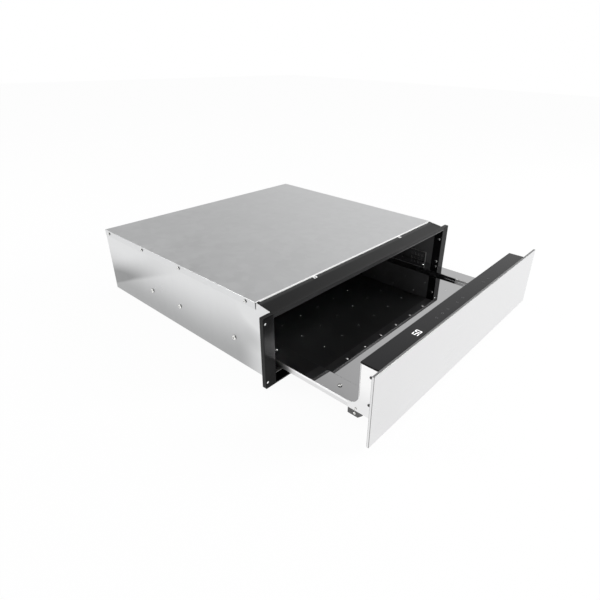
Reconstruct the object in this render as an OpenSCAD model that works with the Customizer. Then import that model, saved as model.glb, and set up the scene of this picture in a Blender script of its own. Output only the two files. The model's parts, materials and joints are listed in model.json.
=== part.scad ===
// Built in warming drawer: a galvanised cabinet with a black front frame, and a heated drawer on
// telescopic slides with its touch control behind the front panel.
// X = 0 is the middle, Y = 0 is where the front flange seats on the furniture with +Y into it,
// and Z = 0 is the underside. The drawer is drawn part way open.

/* [Cabinet] */
// Reach of the front flange beyond each side of the cover
flange_reach = 20.6; // [18:0.2:24]
// Depth from the flange seat to the rear face
body_d = 521; // [506:1:560]
// Height from the underside to the top of the cover
body_h = 141.4; // [136:0.2:160]
// Thickness of the galvanised sheet
sheet_t = 0.8; // [0.6:0.1:1]
// Height of the folded side and rear flanges of the cover
cover_flange_h = 13.5; // [12:0.5:16]
// Distance from the flange seat to the front lip of the cover
cover_start = 31.3; // [28:0.1:36]
// Height of the bright front lip of the cover
cover_lip_h = 2.6; // [1.6:0.1:3]
// Depth of the rear compartment behind the heated cavity
rear_room = 89; // [84:1:110]
// Thickness of the black lining of the cavity
liner_t = 0.6; // [0.5:0.1:0.8]
// Height of the floor lining above the underside
floor_liner_z = 7; // [6:0.2:7.6]

/* [Front frame] */
// Width of the front flange
frame_w = 598; // [594:1:604]
// Rise of the cover above the front flange
strip_rise = 6.2; // [4.4:0.2:8]
// Depth of the flange's outer returns
frame_d = 8.2; // [6:0.2:12]
// Thickness of the frame's sheet
frame_t = 1.2; // [1:0.1:1.5]
// Height of the lip above the opening
top_lip_h = 7.7; // [6:0.1:9]
// Reach of the inner returns behind the flange seat
return_d = 11.8; // [10:0.2:14]
// Radius of the flange's outer corners
frame_corner_r = 2; // [1.6:0.1:4]
// Diameter of the mounting holes in the flange
bolt_hole_d = 4.5; // [3.5:0.1:5.5]
// Distance from a mounting hole to the flange's outer edge
bolt_hole_side = 5; // [4.6:0.1:8]
// Distance from a mounting hole to the flange's top or bottom edge
bolt_hole_end = 11.3; // [8:0.1:16]

/* [Drawer front] */
// Distance from each side of the front panel to the side of the frame
panel_side = 1.5; // [0:0.1:4]
// Thickness of the front panel
panel_t = 4.2; // [3:0.1:6]
// Height of the front panel's lower edge above the underside
panel_low = 7.9; // [4:0.1:12]
// Height of the front panel above the control glass
panel_rise = 11.5; // [6:0.1:14]
// Gap between the closed front panel and the frame
panel_gap = 3; // [2.6:0.1:5]
// Depth of the control housing behind the front panel
control_d = 39.6; // [38:0.2:44]
// Thickness of the control glass
glass_t = 3; // [2:0.1:4]
// Gap between the control glass and the top of the opening
glass_gap = 7; // [4:0.1:10]
// Gap between the drawer's side and the edge of the opening
side_gap = 7.2; // [6:0.1:8]
// Radius of the end bracket's large fillet
fillet_r = 20.4; // [14:0.1:24]

/* [Tray] */
// Height of the tray's side ledges above the underside
ledge_z = 40.2; // [38:0.2:44]
// Width of each side ledge
ledge_w = 37; // [34:0.5:42]
// Drop from the ledges to the tray floor
floor_drop = 7.2; // [4:0.2:7.6]
// Height of the tray's folded sides
tray_side_h = 10.8; // [8:0.2:11.2]
// Thickness of the tray's stainless sheet
tray_t = 0.8; // [0.6:0.1:1]
// Diameter of the warm air holes in the tray floor
air_hole_d = 3; // [2:0.2:5]
// Spacing of the warm air holes across the tray
air_pitch_x = 50.5; // [40:0.5:60]
// Spacing of the warm air holes along the tray
air_pitch_y = 53; // [40:0.5:60]
// Height of the rail at the back of the tray, above the ledges
back_rail_h = 34; // [20:1:50]

/* [Slides] */
// Width of each telescopic slide
slide_w = 30; // [29:0.5:32]
// Thickness of the slide members
slide_t = 1; // [0.8:0.1:1.2]
// Diameter of the slide balls
ball_d = 2.8; // [2.4:0.1:3]
// Number of balls in each row
ball_count = 10; // [4:1:16]
// Top of the slide bracket above the underside
bracket_top = 62; // [58:0.5:68]

/* [Fan and heater] */
// Gap between the heater ring and the planes of the cavity's floor and top
heater_room = 5.4; // [4:0.1:10]
// Gap between the impeller and the heater ring
impeller_room = 8.75; // [6:0.05:14]
// Number of impeller blades
blade_count = 16; // [8:1:24]
// Diameter of the motor shaft
shaft_d = 6; // [5:0.2:7]
// Diameter of the heater tube
heater_tube_d = 6.5; // [5:0.1:8]
// Diameter of the cable gland's bore
gland_bore_d = 8; // [6:0.2:10]

/* [Motion] */
// How far the drawer stands open
drawer_open = 200.8; // [120:0.2:220]

/* [Hidden] */
$fn = 48;

// Clearances, and the overrun of every cut
fit_gap = 0.2;
seat_gap = 0.3;
run_gap = 1;
bore_gap = 0.05;
over = 1;

// Planes of the side wall, from the outside inwards
cover_x = frame_w / 2 - flange_reach;
side_out_x = cover_x - sheet_t;
side_in_x = side_out_x - sheet_t;
liner_in_x = side_in_x - liner_t;
bracket_t = 1;
bracket_in_x = liner_in_x - bracket_t;
opening_x = side_in_x - fit_gap - frame_t;
drawer_x = opening_x - side_gap;
bracket_plate_t = 1.2;
box_x = drawer_x - bracket_plate_t;

// Heights
frame_h = body_h - strip_rise;
cover_under_z = body_h - sheet_t;
flange_low_z = body_h - cover_flange_h;
opening_top_z = frame_h - top_lip_h;
liner_top_z = opening_top_z + frame_t + fit_gap;
floor_top_z = floor_liner_z + liner_t;
glass_top_z = opening_top_z - glass_gap;
glass_low_z = glass_top_z - glass_t;
tray_floor_z = ledge_z - floor_drop;
ledge_low_z = ledge_z - tray_t;
box_low_z = ledge_z - tray_side_h;
panel_top_z = glass_top_z + panel_rise;
base_top_z = 2 * sheet_t;

// Planes along the depth
cavity_d = body_d - rear_room;
front_y = -frame_d;
side_front_y = front_y + frame_t + fit_gap;
rear_out_y = body_d - sheet_t;
rear_in_y = rear_out_y - sheet_t;
liner_front_y = return_d + seat_gap;
cavity_back_y = cavity_d + liner_t;
strip_lip_gap = 0.5;
strip_end_y = cover_start - strip_lip_gap;
strip_end_z = body_h - cover_lip_h;
slit_w = 1;
insulation_start_y = cover_start + cover_lip_h;
insulation_gap = 4;
insulation_end_y = cavity_d - insulation_gap;
insulation_side = 2.8;

// Drawer planes along the depth, with the drawer shut
panel_back_y = front_y - panel_gap;
box_back_y = panel_back_y + control_d;
tray_rear_gap = 18.6;
tray_back_y = cavity_d - tray_rear_gap;
tray_d = tray_back_y - box_back_y;
bracket_setback = 2;
arm_end_y = box_back_y - bracket_setback + fillet_r;

// Telescopic slides, lying flat under the ledges
slide_x = box_x - ledge_w / 2;
slide_setback = 3;
slide_rear_gap = 6;
slide_front_y = arm_end_y + slide_setback;
slide_back_y = cavity_d - slide_rear_gap;
slide_top_z = ledge_low_z;
slide_h = 13;
slide_low_z = slide_top_z - slide_h;
ball_play = 0.1;
ball_room = ball_d + 2 * ball_play;
outer_half = slide_w / 2;
middle_half = outer_half - slide_t - ball_room;
inner_half = middle_half - slide_t - ball_room;
outer_wall_h = 8;
middle_low_z = slide_low_z + slide_t + run_gap;
middle_top_z = slide_top_z - slide_t - run_gap;
web_low_z = (middle_low_z + middle_top_z - slide_t) / 2;
middle_setback = 9.5;
middle_stop = 7;

// Slide bracket on the side wall
bracket_start_y = 28.3;
bracket_lip = 2;
vent_w = 5.4;
vent_h = 5.8;
vent_pitch_y = 9.5;
vent_pitch_z = 10;
vent_count = 4;
vent_rows = 2;
vent_inset = 8.4;
vent_drop = 12;
rail_screw_z = 47.8;

// Screws as head diameter, head height, shank diameter and shank length
cover_screw = [6.4, 2, 3.2, 3.2];
rail_screw = [9, 2.6, 3.6, 5.6];
frame_screw = [6, 1.8, 3.2, 3.2];
small_screw = [4.6, 1.2, 2.4, 3];
recess_w = 1;
recess_share = 0.62;
screw_play = 0.1;
cover_screw_shares = [0.109, 0.47, 0.716, 0.969];
cover_screw_drop = 6.8;
rear_screw_share = 0.72;
rail_screw_shares = [0.217, 0.599, 0.826];
frame_screw_inset = 6.7;
frame_screw_y = front_y + frame_screw_inset;
frame_screw_low_z = 47;
frame_screw_drop = 23.5;
frame_screw_high_z = opening_top_z - frame_screw_drop;
tab_w = 8;
tab_d = 5.6;
cover_lip_inset = 9;
tab_share = 0.504;

// Catches and push latches below the slides
catch_d = 27;
catch_t = 3.2;
catch_low_z = 17.4;
catch_chamfer = 7.6;
catch_foot_t = 3.2;
catch_foot_w = 9;
catch_top_z = ledge_low_z - run_gap;
catch_pin_inset = 3.4;
catch_pin_rise = 4;
latch_w = 16;
latch_d = 40;
latch_stroke_room = 10;
plunger_d = 6;
plunger_z = 21;
plunger_tail = 24;
plunger_x = box_x - catch_t / 2;
shelf_z = slide_low_z - bracket_t;
latch_top_z = shelf_z - seat_gap;

// Fan and heater in the rear compartment
cavity_h = liner_top_z - floor_top_z;
fan_z = floor_top_z + cavity_h / 2;
heater_ring_d = cavity_h - 2 * heater_room - heater_tube_d;
impeller_d = heater_ring_d - heater_tube_d - 2 * impeller_room;
fan_gap = 4.4;
impeller_w = 20;
impeller_plate_t = 1;
hub_d = 16;
blade_t = 0.8;
blade_lean = 28;
blade_root_share = 0.6;
nut_t = 4;
nut_d = 11.5;
shaft_nose = 1.2;
impeller_gap = 2.4;
fan_plate_y = cavity_back_y + fan_gap + nut_t + impeller_w + impeller_gap;
fan_plate_w = 156;
fan_plate_room = 4.7;
fan_plate_h = cavity_h - 2 * fan_plate_room;
motor_d = 60;
motor_l = 26;
motor_core_w = 72;
motor_core_l = 12;
motor_cap_l = 5;
motor_cap_d = 22;
shaft_hole_gap = 2;
standoff_d = 8;
standoff_inset = 8;
heater_standoff = 14;
heater_y = fan_plate_y - heater_standoff;
heater_end_d = 8.5;
heater_gap_angle = 30;
heater_tail = 16;
clip_w = 7;
clip_t = 3;
clip_angles = [150, 270, 30];
intake_ring_step = 9;
intake_rings = 3;
intake_ring_holes = 6;
intake_hole_d = 5.6;
outlet_w = 20;
outlet_h = 5;
outlet_pitch = 34;
outlet_count = 10;
outlet_z = 18;

// Rear panel fittings
gland_side = 78.4;
gland_x = gland_side - cover_x;
gland_z = 36;
gland_neck_d = 16;
gland_head_d = 24;
gland_head_l = 10;
gland_nut_d = 22;
gland_nut_l = 5;
block_w = 56;
block_h = 20;
block_d = 22;
block_z = 70;
terminal_count = 3;
terminal_d = 7;
terminal_h = 1.5;
thermostat_x = 122;
thermostat_rise = 20;
thermostat_z = fan_z + thermostat_rise;
thermostat_d = 18;
thermostat_l = 8;
blade_tab_w = 6.3;
blade_tab_l = 8;
louvre_w = 4;
louvre_l = 42;
louvre_pitch = 11;
louvre_count = 9;

// Fittings of the control housing and the tray
panel_w = frame_w - 2 * panel_side;
panel_corner_r = 0.8;
bumper_d = 10;
bumper_t = 2.6;
bumper_inset = 13;
bumper_end = 20;
flange_w = 14;
bracket_screw_shares = [0.27, 0.83];
bracket_screw_inset = 19.8;
digit_w = 6.4;
digit_h = 10.4;
digit_pitch = 9;
digit_x = -148.5;
stroke_w = 1.2;
print_t = 0.15;
icon_d = 4.4;
icon_line = 0.6;
icon_shares = [-0.332, -0.258, -0.186, -0.061, 0.02, 0.34, 0.418];
board_t = 1.6;
board_w = 330;
board_x = -40;
board_inset = 4;
board_drop = 9;
post_d = 5;
chip_h = 3;
chip_w = 14;
chip_pitch = 28;
chip_count = 3;
module_w = 26;
module_d = 16;
first_air_row = 90;
air_margin = 28;
air_side_margin = 45;
ledge_screw_shares = [0.127, 0.5, 0.87];
rail_inset = 3;
boot_w = 20;
boot_d = 14.4;
boot_r = 25;
base_slot_w = 5;
base_slot_l = 44;
base_slot_pitch = 14;
base_slot_count = 5;
base_slot_x = 150;

galvanised = [0.72, 0.73, 0.74];
stainless = [0.86, 0.86, 0.87];
black = [0.07, 0.07, 0.075];
dark = [0.25, 0.25, 0.26];

// A box from its lowest corner to its highest corner
module block(low, high)
    translate(low)
        cube(high - low);

// A flat outline in depth and height, given thickness from x0 to x1
module along_x(x0, x1)
    translate([x0, 0, 0])
        rotate([90, 0, 90])
            linear_extrude(x1 - x0)
                children();

// A flat outline in width and height, given thickness from y0 to y1
module along_y(y0, y1)
    translate([0, y1, 0])
        rotate([90, 0, 0])
            linear_extrude(y1 - y0)
                children();

module rod_x(d, x0, x1, y, z)
    translate([x0, y, z])
        rotate([0, 90, 0])
            cylinder(d = d, h = x1 - x0);

module rod_y(d, y0, y1, x, z)
    translate([x, y0, z])
        rotate([-90, 0, 0])
            cylinder(d = d, h = y1 - y0);

// Draws a right-hand piece, or its mirror image for the left
module on_side(side)
    mirror([side < 0 ? 1 : 0, 0, 0])
        children();

module on_both_sides()
    for (side = [-1, 1])
        on_side(side)
            children();

// Places a drawer piece, drawn with the drawer shut, where the open drawer has it
module in_drawer()
    translate([0, -drawer_open, 0])
        children();

// A rectangle with round corners, centred across its width and standing on zero
module round_plate(w, h, r) {
    translate([-w / 2 + r, 0])
        square([w - 2 * r, h]);
    translate([-w / 2, r])
        square([w, h - 2 * r]);
    for (x = [r - w / 2, w / 2 - r], z = [r, h - r])
        translate([x, z])
            circle(r);
}

// A pan head screw that points down, its head standing on zero
module screw(size) {
    head_r = size[0] / 2;
    head_h = size[1];
    shank_r = size[2] / 2;
    difference() {
        rotate_extrude()
            polygon([
                [0, -size[3]], [shank_r, -size[3]], [shank_r, 0], [head_r, 0],
                [head_r, head_h / 2], [head_r - head_h / 2, head_h], [0, head_h]
            ]);
        for (turn = [0, 90])
            rotate(turn)
                translate([-recess_share * head_r, -recess_w / 2, head_h / 2])
                    cube([2 * recess_share * head_r, recess_w, head_h]);
    }
}

// A screw whose head stands out along +X from the plane x
module screw_out_x(size, x, y, z)
    translate([x, y, z])
        rotate([0, 90, 0])
            screw(size);

// The hole that clears a screw's shank, through a wall from x0 to x1
module screw_hole_x(size, x0, x1, y, z)
    rod_x(size[2] + 2 * screw_play, x0 - over / 2, x1 + over / 2, y, z);

module base_pan()
    color(galvanised)
        difference() {
            block([-side_in_x, liner_front_y, sheet_t], [side_in_x, rear_in_y, base_top_z]);
            for (side = [-1, 1], i = [0 : base_slot_count - 1])
                translate([side * base_slot_x, cavity_back_y + base_slot_pitch * (i + 1), 0])
                    translate([-base_slot_l / 2, -base_slot_w / 2, 0])
                        cube([base_slot_l, base_slot_w, base_top_z + over]);
        }

// Outline of a side panel: the front ear rises in a slope behind the flange
module side_outline()
    polygon([
        [side_front_y, frame_t + fit_gap], [fit_gap, frame_t + fit_gap], [fit_gap, 0],
        [rear_in_y, 0], [rear_in_y, cover_under_z], [cover_start, cover_under_z],
        [fit_gap, frame_h + run_gap], [fit_gap, frame_h - frame_t - fit_gap],
        [side_front_y, frame_h - frame_t - fit_gap]
    ]);

module side_panel(side)
    color(galvanised)
        on_side(side) {
            difference() {
                along_x(side_in_x, side_out_x)
                    side_outline();
                block([side_in_x - over, cover_start, flange_low_z],
                    [side_out_x + over, cover_start + slit_w, cover_under_z + over]);
                for (share = cover_screw_shares)
                    screw_hole_x(cover_screw, side_in_x, side_out_x,
                        share * body_d, body_h - cover_screw_drop);
                for (share = rail_screw_shares)
                    screw_hole_x(rail_screw, side_in_x, side_out_x,
                        share * cavity_d, rail_screw_z);
                for (z = [frame_screw_low_z, frame_screw_high_z])
                    screw_hole_x(frame_screw, side_in_x, side_out_x, frame_screw_y, z);
            }
            block([side_in_x - cover_flange_h, liner_front_y, 0], [side_in_x, rear_in_y, sheet_t]);
        }

module rear_panel()
    color(galvanised)
        difference() {
            block([-side_out_x, rear_in_y, 0], [side_out_x, rear_out_y, cover_under_z]);
            rod_y(gland_neck_d + 2 * screw_play, rear_in_y - over, rear_out_y + over,
                gland_x, gland_z);
            for (i = [0 : louvre_count - 1])
                translate([(i - (louvre_count - 1) / 2) * louvre_pitch, 0, fan_z])
                    block([-louvre_w / 2, rear_in_y - over, -louvre_l / 2],
                        [louvre_w / 2, rear_out_y + over, louvre_l / 2]);
            for (i = [-1 : 1])
                rod_y(cover_screw[2] + 2 * screw_play, rear_in_y - over, rear_out_y + over,
                    i * rear_screw_share * side_in_x, body_h - cover_screw_drop);
        }

// Angle and foot of the sloping strip behind the flange
strip_angle = atan2(strip_end_z - frame_h, strip_end_y);
module on_strip(x, y)
    translate([x, y, frame_h + y * tan(strip_angle)])
        rotate([strip_angle, 0, 0])
            children();

tab_y = strip_end_y - tab_d / 2;
module top_cover()
    color(galvanised)
        difference() {
            union() {
                block([-cover_x, cover_start, cover_under_z], [cover_x, body_d, body_h]);
                block([-cover_x + cover_lip_inset, cover_start, body_h - cover_lip_h],
                    [cover_x - cover_lip_inset, cover_start + sheet_t, body_h]);
                block([-cover_x, rear_out_y, flange_low_z], [cover_x, body_d, body_h]);
                on_both_sides()
                    block([side_out_x, cover_start + slit_w, flange_low_z],
                        [cover_x, body_d, body_h]);
                for (side = [-1, 1])
                    on_strip(side * tab_share * side_in_x, tab_y)
                        block([-tab_w / 2, -tab_d / 2, 0],
                            [tab_w / 2, tab_d / 2 + strip_lip_gap + sheet_t / 2, sheet_t]);
            }
            on_both_sides()
                for (share = cover_screw_shares)
                    screw_hole_x(cover_screw, side_out_x, cover_x,
                        share * body_d, body_h - cover_screw_drop);
            for (i = [-1 : 1])
                rod_y(cover_screw[2] + 2 * screw_play, rear_out_y - over, body_d + over,
                    i * rear_screw_share * side_in_x, body_h - cover_screw_drop);
            for (side = [-1, 1])
                on_strip(side * tab_share * side_in_x, tab_y)
                    translate([0, 0, -over])
                        cylinder(d = small_screw[2] + 2 * screw_play, h = sheet_t + 2 * over);
        }

bolt_x = frame_w / 2 - bolt_hole_side;
strip_leg_z = liner_top_z + liner_t;
// The frame, with reliefs where the ends of the side panels pass its top and bottom returns
module front_frame()
    color(black)
        difference() {
            union() {
                along_y(front_y, 0)
                    difference() {
                        round_plate(frame_w, frame_h, frame_corner_r);
                        translate([0, frame_t])
                            round_plate(frame_w - 2 * frame_t, frame_h - 2 * frame_t,
                                frame_corner_r - frame_t);
                    }
                along_y(front_y, front_y + frame_t)
                    round_plate(frame_w, frame_h, frame_corner_r);
                block([-opening_x - frame_t, front_y, 0],
                    [opening_x + frame_t, return_d, opening_top_z + frame_t]);
                along_x(-opening_x - frame_t, opening_x + frame_t)
                    polygon([
                        [-frame_t, frame_h - frame_t], [-frame_t, frame_h], [0, frame_h],
                        [strip_end_y, strip_end_z], [strip_end_y, strip_leg_z],
                        [strip_end_y - frame_t, strip_leg_z],
                        [strip_end_y - frame_t, strip_end_z - frame_t], [0, frame_h - frame_t]
                    ]);
            }
            block([-opening_x, front_y - over, frame_t],
                [opening_x, return_d + over, opening_top_z]);
            for (side = [-1, 1], z = [bolt_hole_end, frame_h - bolt_hole_end])
                rod_y(bolt_hole_d, front_y - over, front_y + frame_t + over, side * bolt_x, z);
            on_both_sides()
                for (z = [frame_screw_low_z, frame_screw_high_z])
                    screw_hole_x(frame_screw, opening_x, opening_x + frame_t, frame_screw_y, z);
            on_both_sides()
                for (z = [-over, frame_h - frame_t])
                    block([opening_x + frame_t, side_front_y, z],
                        [side_out_x + fit_gap, over, z + frame_t + over]);
            for (side = [-1, 1])
                on_strip(side * tab_share * side_in_x, tab_y)
                    translate([0, 0, -2 * frame_t])
                        cylinder(d = small_screw[2] + 2 * screw_play, h = 2 * frame_t + over);
        }

module liner_top()
    color(black)
        block([-side_in_x, liner_front_y, liner_top_z],
            [side_in_x, cavity_back_y, liner_top_z + liner_t]);

module liner_side(side)
    color(black)
        on_side(side)
            difference() {
                block([liner_in_x, liner_front_y, floor_top_z],
                    [side_in_x, cavity_d, liner_top_z]);
                for (share = rail_screw_shares)
                    screw_hole_x(rail_screw, liner_in_x, side_in_x,
                        share * cavity_d, rail_screw_z);
            }

module liner_rear()
    color(black)
        difference() {
            block([-side_in_x, cavity_d, floor_top_z], [side_in_x, cavity_back_y, liner_top_z]);
            for (ring = [0 : intake_rings], i = [0 : max(0, intake_ring_holes * ring - 1)])
                translate([0, 0, fan_z])
                    rotate([0, i * 360 / max(1, intake_ring_holes * ring), 0])
                        rod_y(intake_hole_d, cavity_d - over, cavity_back_y + over,
                            ring * intake_ring_step, 0);
            for (i = [0 : outlet_count - 1])
                translate([(i - (outlet_count - 1) / 2) * outlet_pitch, 0, outlet_z])
                    block([-outlet_w / 2, cavity_d - over, -outlet_h / 2],
                        [outlet_w / 2, cavity_back_y + over, outlet_h / 2]);
        }

module liner_floor()
    color(black)
        block([-side_in_x, liner_front_y, floor_liner_z], [side_in_x, cavity_back_y, floor_top_z]);

module top_insulation()
    color("ivory")
        block([-side_in_x + insulation_side, insulation_start_y, liner_top_z + liner_t],
            [side_in_x - insulation_side, insulation_end_y, cover_under_z]);

module floor_insulation()
    color("ivory")
        block([-side_in_x + insulation_side, liner_front_y, base_top_z],
            [side_in_x - insulation_side, insulation_end_y, floor_liner_z]);

module slide_bracket(side)
    color(dark)
        on_side(side)
            difference() {
                union() {
                    block([bracket_in_x, bracket_start_y, shelf_z],
                        [liner_in_x, slide_back_y, bracket_top]);
                    block([bracket_in_x - bracket_lip, bracket_start_y, bracket_top - bracket_t],
                        [liner_in_x, slide_back_y, bracket_top]);
                    block([bracket_in_x - bracket_lip, bracket_start_y, shelf_z],
                        [liner_in_x, bracket_start_y + bracket_t, bracket_top]);
                    block([slide_x - outer_half, slide_front_y, shelf_z],
                        [liner_in_x, slide_back_y, slide_low_z]);
                }
                for (i = [0 : vent_count - 1], row = [0 : vent_rows - 1])
                    translate([0, bracket_start_y + vent_inset + i * vent_pitch_y,
                            bracket_top - vent_drop - row * vent_pitch_z])
                        block([bracket_in_x - over, -vent_w / 2, -vent_h / 2],
                            [liner_in_x + over, vent_w / 2, vent_h / 2]);
                for (share = rail_screw_shares)
                    screw_hole_x(rail_screw, bracket_in_x, liner_in_x,
                        share * cavity_d, rail_screw_z);
            }

// A slide member's cross-section, given length along the depth
module slide_outer(side)
    color("lightgray")
        on_side(side)
            translate([slide_x, 0, 0])
                along_y(slide_front_y, slide_back_y) {
                    translate([-outer_half, slide_low_z])
                        square([slide_w, slide_t]);
                    for (x = [-outer_half, outer_half - slide_t])
                        translate([x, slide_low_z])
                            square([slide_t, outer_wall_h]);
                }

module slide_middle(side)
    color(dark)
        on_side(side)
            translate([slide_x, -drawer_open / 2, 0])
                along_y(slide_front_y + middle_setback, slide_back_y - middle_stop) {
                    translate([-middle_half, web_low_z])
                        square([2 * middle_half, slide_t]);
                    for (x = [-middle_half, middle_half - slide_t])
                        translate([x, middle_low_z])
                            square([slide_t, middle_top_z - middle_low_z]);
                }

module slide_inner(side)
    color("lightgray")
        in_drawer()
            on_side(side)
                translate([slide_x, 0, 0])
                    difference() {
                        along_y(slide_front_y, slide_back_y - 2 * middle_stop) {
                            translate([-middle_half, slide_top_z - slide_t])
                                square([2 * middle_half, slide_t]);
                            for (x = [-inner_half, inner_half - slide_t])
                                translate([x, web_low_z + slide_t + run_gap])
                                    square([slide_t,
                                        slide_top_z - web_low_z - slide_t - run_gap]);
                        }
                        ledge_screw_holes();
                    }

cage_t = 0.8;
cage_h = 2;
cage_end_gap = 12;
cage_l = slide_back_y - slide_front_y - middle_setback - middle_stop - 2 * cage_end_gap;
// Height of a ball row between its two tracks
inner_row_z = (web_low_z + slide_t + run_gap + middle_top_z) / 2;
outer_row_z = (middle_low_z + slide_low_z + outer_wall_h) / 2;
module ball_row(x, z) {
    block([x - cage_t / 2, 0, z - cage_h / 2], [x + cage_t / 2, cage_l, z + cage_h / 2]);
    for (i = [0 : ball_count - 1])
        translate([x, (i + 0.5) * cage_l / ball_count, z])
            sphere(d = ball_d);
}

module ball_cage(side)
    color("silver")
        on_side(side)
            translate([slide_x, slide_front_y + middle_setback + cage_end_gap - drawer_open / 2, 0])
                for (s = [-1, 1]) {
                    ball_row(s * (middle_half + ball_room / 2), outer_row_z);
                    ball_row(s * (inner_half + ball_room / 2), inner_row_z);
                }

module cover_screws()
    color("silver") {
        on_both_sides()
            for (share = cover_screw_shares)
                screw_out_x(cover_screw, cover_x, share * body_d, body_h - cover_screw_drop);
        for (i = [-1 : 1])
            translate([i * rear_screw_share * side_in_x, body_d, body_h - cover_screw_drop])
                rotate([-90, 0, 0])
                    screw(cover_screw);
    }

module tab_screws()
    color("silver")
        for (side = [-1, 1])
            on_strip(side * tab_share * side_in_x, tab_y)
                translate([0, 0, sheet_t])
                    screw(small_screw);

module rail_screws()
    color("silver")
        on_both_sides()
            for (share = rail_screw_shares)
                screw_out_x(rail_screw, side_out_x, share * cavity_d, rail_screw_z);

module frame_screws()
    color("silver")
        on_both_sides()
            for (z = [frame_screw_low_z, frame_screw_high_z])
                translate([opening_x, frame_screw_y, z])
                    rotate([0, -90, 0])
                        screw(frame_screw);

// The heater's ring, open at the bottom where its thicker end sleeves leave
module heater_ring(d)
    translate([0, heater_y, fan_z])
        rotate([90, 0, 0])
            rotate(heater_gap_angle / 2 - 90)
                rotate_extrude(angle = 360 - heater_gap_angle)
                    translate([heater_ring_d / 2, 0])
                        circle(d = d);

// Runs a piece from the ring's middle line, at an angle round the fan
module at_heater_angle(angle)
    translate([cos(angle) * heater_ring_d / 2, 0, fan_z + sin(angle) * heater_ring_d / 2])
        children();

heater_end_angles = [heater_gap_angle / 2 - 90, -heater_gap_angle / 2 - 90];
module heating_element()
    color(dark) {
        heater_ring(heater_tube_d);
        for (angle = heater_end_angles)
            at_heater_angle(angle)
                rod_y(heater_end_d, heater_y - heater_end_d / 2, fan_plate_y + heater_tail, 0, 0);
    }

module heater_clips()
    color("silver")
        difference() {
            for (angle = clip_angles)
                at_heater_angle(angle)
                    block([-clip_w / 2, heater_y - heater_tube_d / 2 - clip_t, -clip_w / 2],
                        [clip_w / 2, fan_plate_y, clip_w / 2]);
            heater_ring(heater_tube_d + 2 * screw_play);
        }

fan_plate_low_z = fan_z - fan_plate_h / 2;
module fan_plate()
    color(galvanised)
        difference() {
            block([-fan_plate_w / 2, fan_plate_y, fan_plate_low_z],
                [fan_plate_w / 2, fan_plate_y + sheet_t, fan_plate_low_z + fan_plate_h]);
            rod_y(shaft_d + 2 * shaft_hole_gap, fan_plate_y - over, fan_plate_y + sheet_t + over,
                0, fan_z);
            for (angle = heater_end_angles)
                at_heater_angle(angle)
                    rod_y(heater_end_d + 2 * screw_play, fan_plate_y - over,
                        fan_plate_y + sheet_t + over, 0, 0);
        }

module fan_standoffs()
    color("silver")
        for (x = [-1, 1], z = [-1, 1])
            rod_y(standoff_d, cavity_back_y, fan_plate_y,
                x * (fan_plate_w / 2 - standoff_inset),
                fan_z + z * (fan_plate_h / 2 - standoff_inset));

motor_y = fan_plate_y + sheet_t;
motor_end_y = motor_y + motor_l;
module fan_motor()
    color(dark)
        difference() {
            union() {
                rod_y(motor_d, motor_y, motor_end_y, 0, fan_z);
                block([-motor_core_w / 2, motor_y + (motor_l - motor_core_l) / 2,
                        fan_z - motor_core_w / 2],
                    [motor_core_w / 2, motor_y + (motor_l + motor_core_l) / 2,
                        fan_z + motor_core_w / 2]);
                rod_y(motor_cap_d, motor_end_y, motor_end_y + motor_cap_l, 0, fan_z);
            }
            rod_y(shaft_d + 2 * bore_gap, motor_y - over, motor_end_y + motor_cap_l + over,
                0, fan_z);
        }

impeller_y = cavity_back_y + fan_gap + nut_t;
module motor_shaft()
    color("silver")
        rod_y(shaft_d, cavity_back_y + fan_gap - shaft_nose, motor_end_y + motor_cap_l, 0, fan_z);

module fan_impeller()
    color("silver")
        translate([0, 0, fan_z])
            difference() {
                union() {
                    rod_y(impeller_d, impeller_y + impeller_w - impeller_plate_t,
                        impeller_y + impeller_w, 0, 0);
                    rod_y(hub_d, impeller_y, impeller_y + impeller_w, 0, 0);
                    for (i = [0 : blade_count - 1])
                        rotate([0, i * 360 / blade_count, 0])
                            translate([impeller_d / 2 * blade_root_share, 0, 0])
                                rotate([0, blade_lean, 0])
                                    block([0, impeller_y, -blade_t / 2],
                                        [impeller_d / 2 * (1 - blade_root_share),
                                            impeller_y + impeller_w, blade_t / 2]);
                }
                rod_y(shaft_d + 2 * bore_gap, impeller_y - over, impeller_y + impeller_w + over,
                    0, 0);
            }

module impeller_nut()
    color("goldenrod")
        difference() {
            translate([0, impeller_y - nut_t, fan_z])
                rotate([-90, 0, 0])
                    cylinder(d = nut_d, h = nut_t, $fn = 6);
            rod_y(shaft_d + 2 * bore_gap, impeller_y - nut_t - over, impeller_y + over, 0, fan_z);
        }

module safety_thermostat()
    color("ivory") {
        rod_y(thermostat_d, cavity_back_y, cavity_back_y + thermostat_l,
            thermostat_x, thermostat_z);
        for (side = [-1, 1])
            translate([thermostat_x + side * blade_tab_w / 2 + side * sheet_t,
                    cavity_back_y + thermostat_l, thermostat_z])
                block([-sheet_t / 2, 0, -blade_tab_w / 2], [sheet_t / 2, blade_tab_l, blade_tab_w / 2]);
    }

module terminal_block()
    color("ivory")
        difference() {
            translate([gland_x, rear_in_y - block_d, block_z])
                block([-block_w / 2, 0, -block_h / 2], [block_w / 2, block_d, block_h / 2]);
            for (i = [0 : terminal_count - 1])
                rod_y(terminal_d, rear_in_y - block_d - over, rear_in_y - block_d + terminal_h,
                    gland_x + (i - (terminal_count - 1) / 2) * block_w / terminal_count, block_z);
        }

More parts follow.
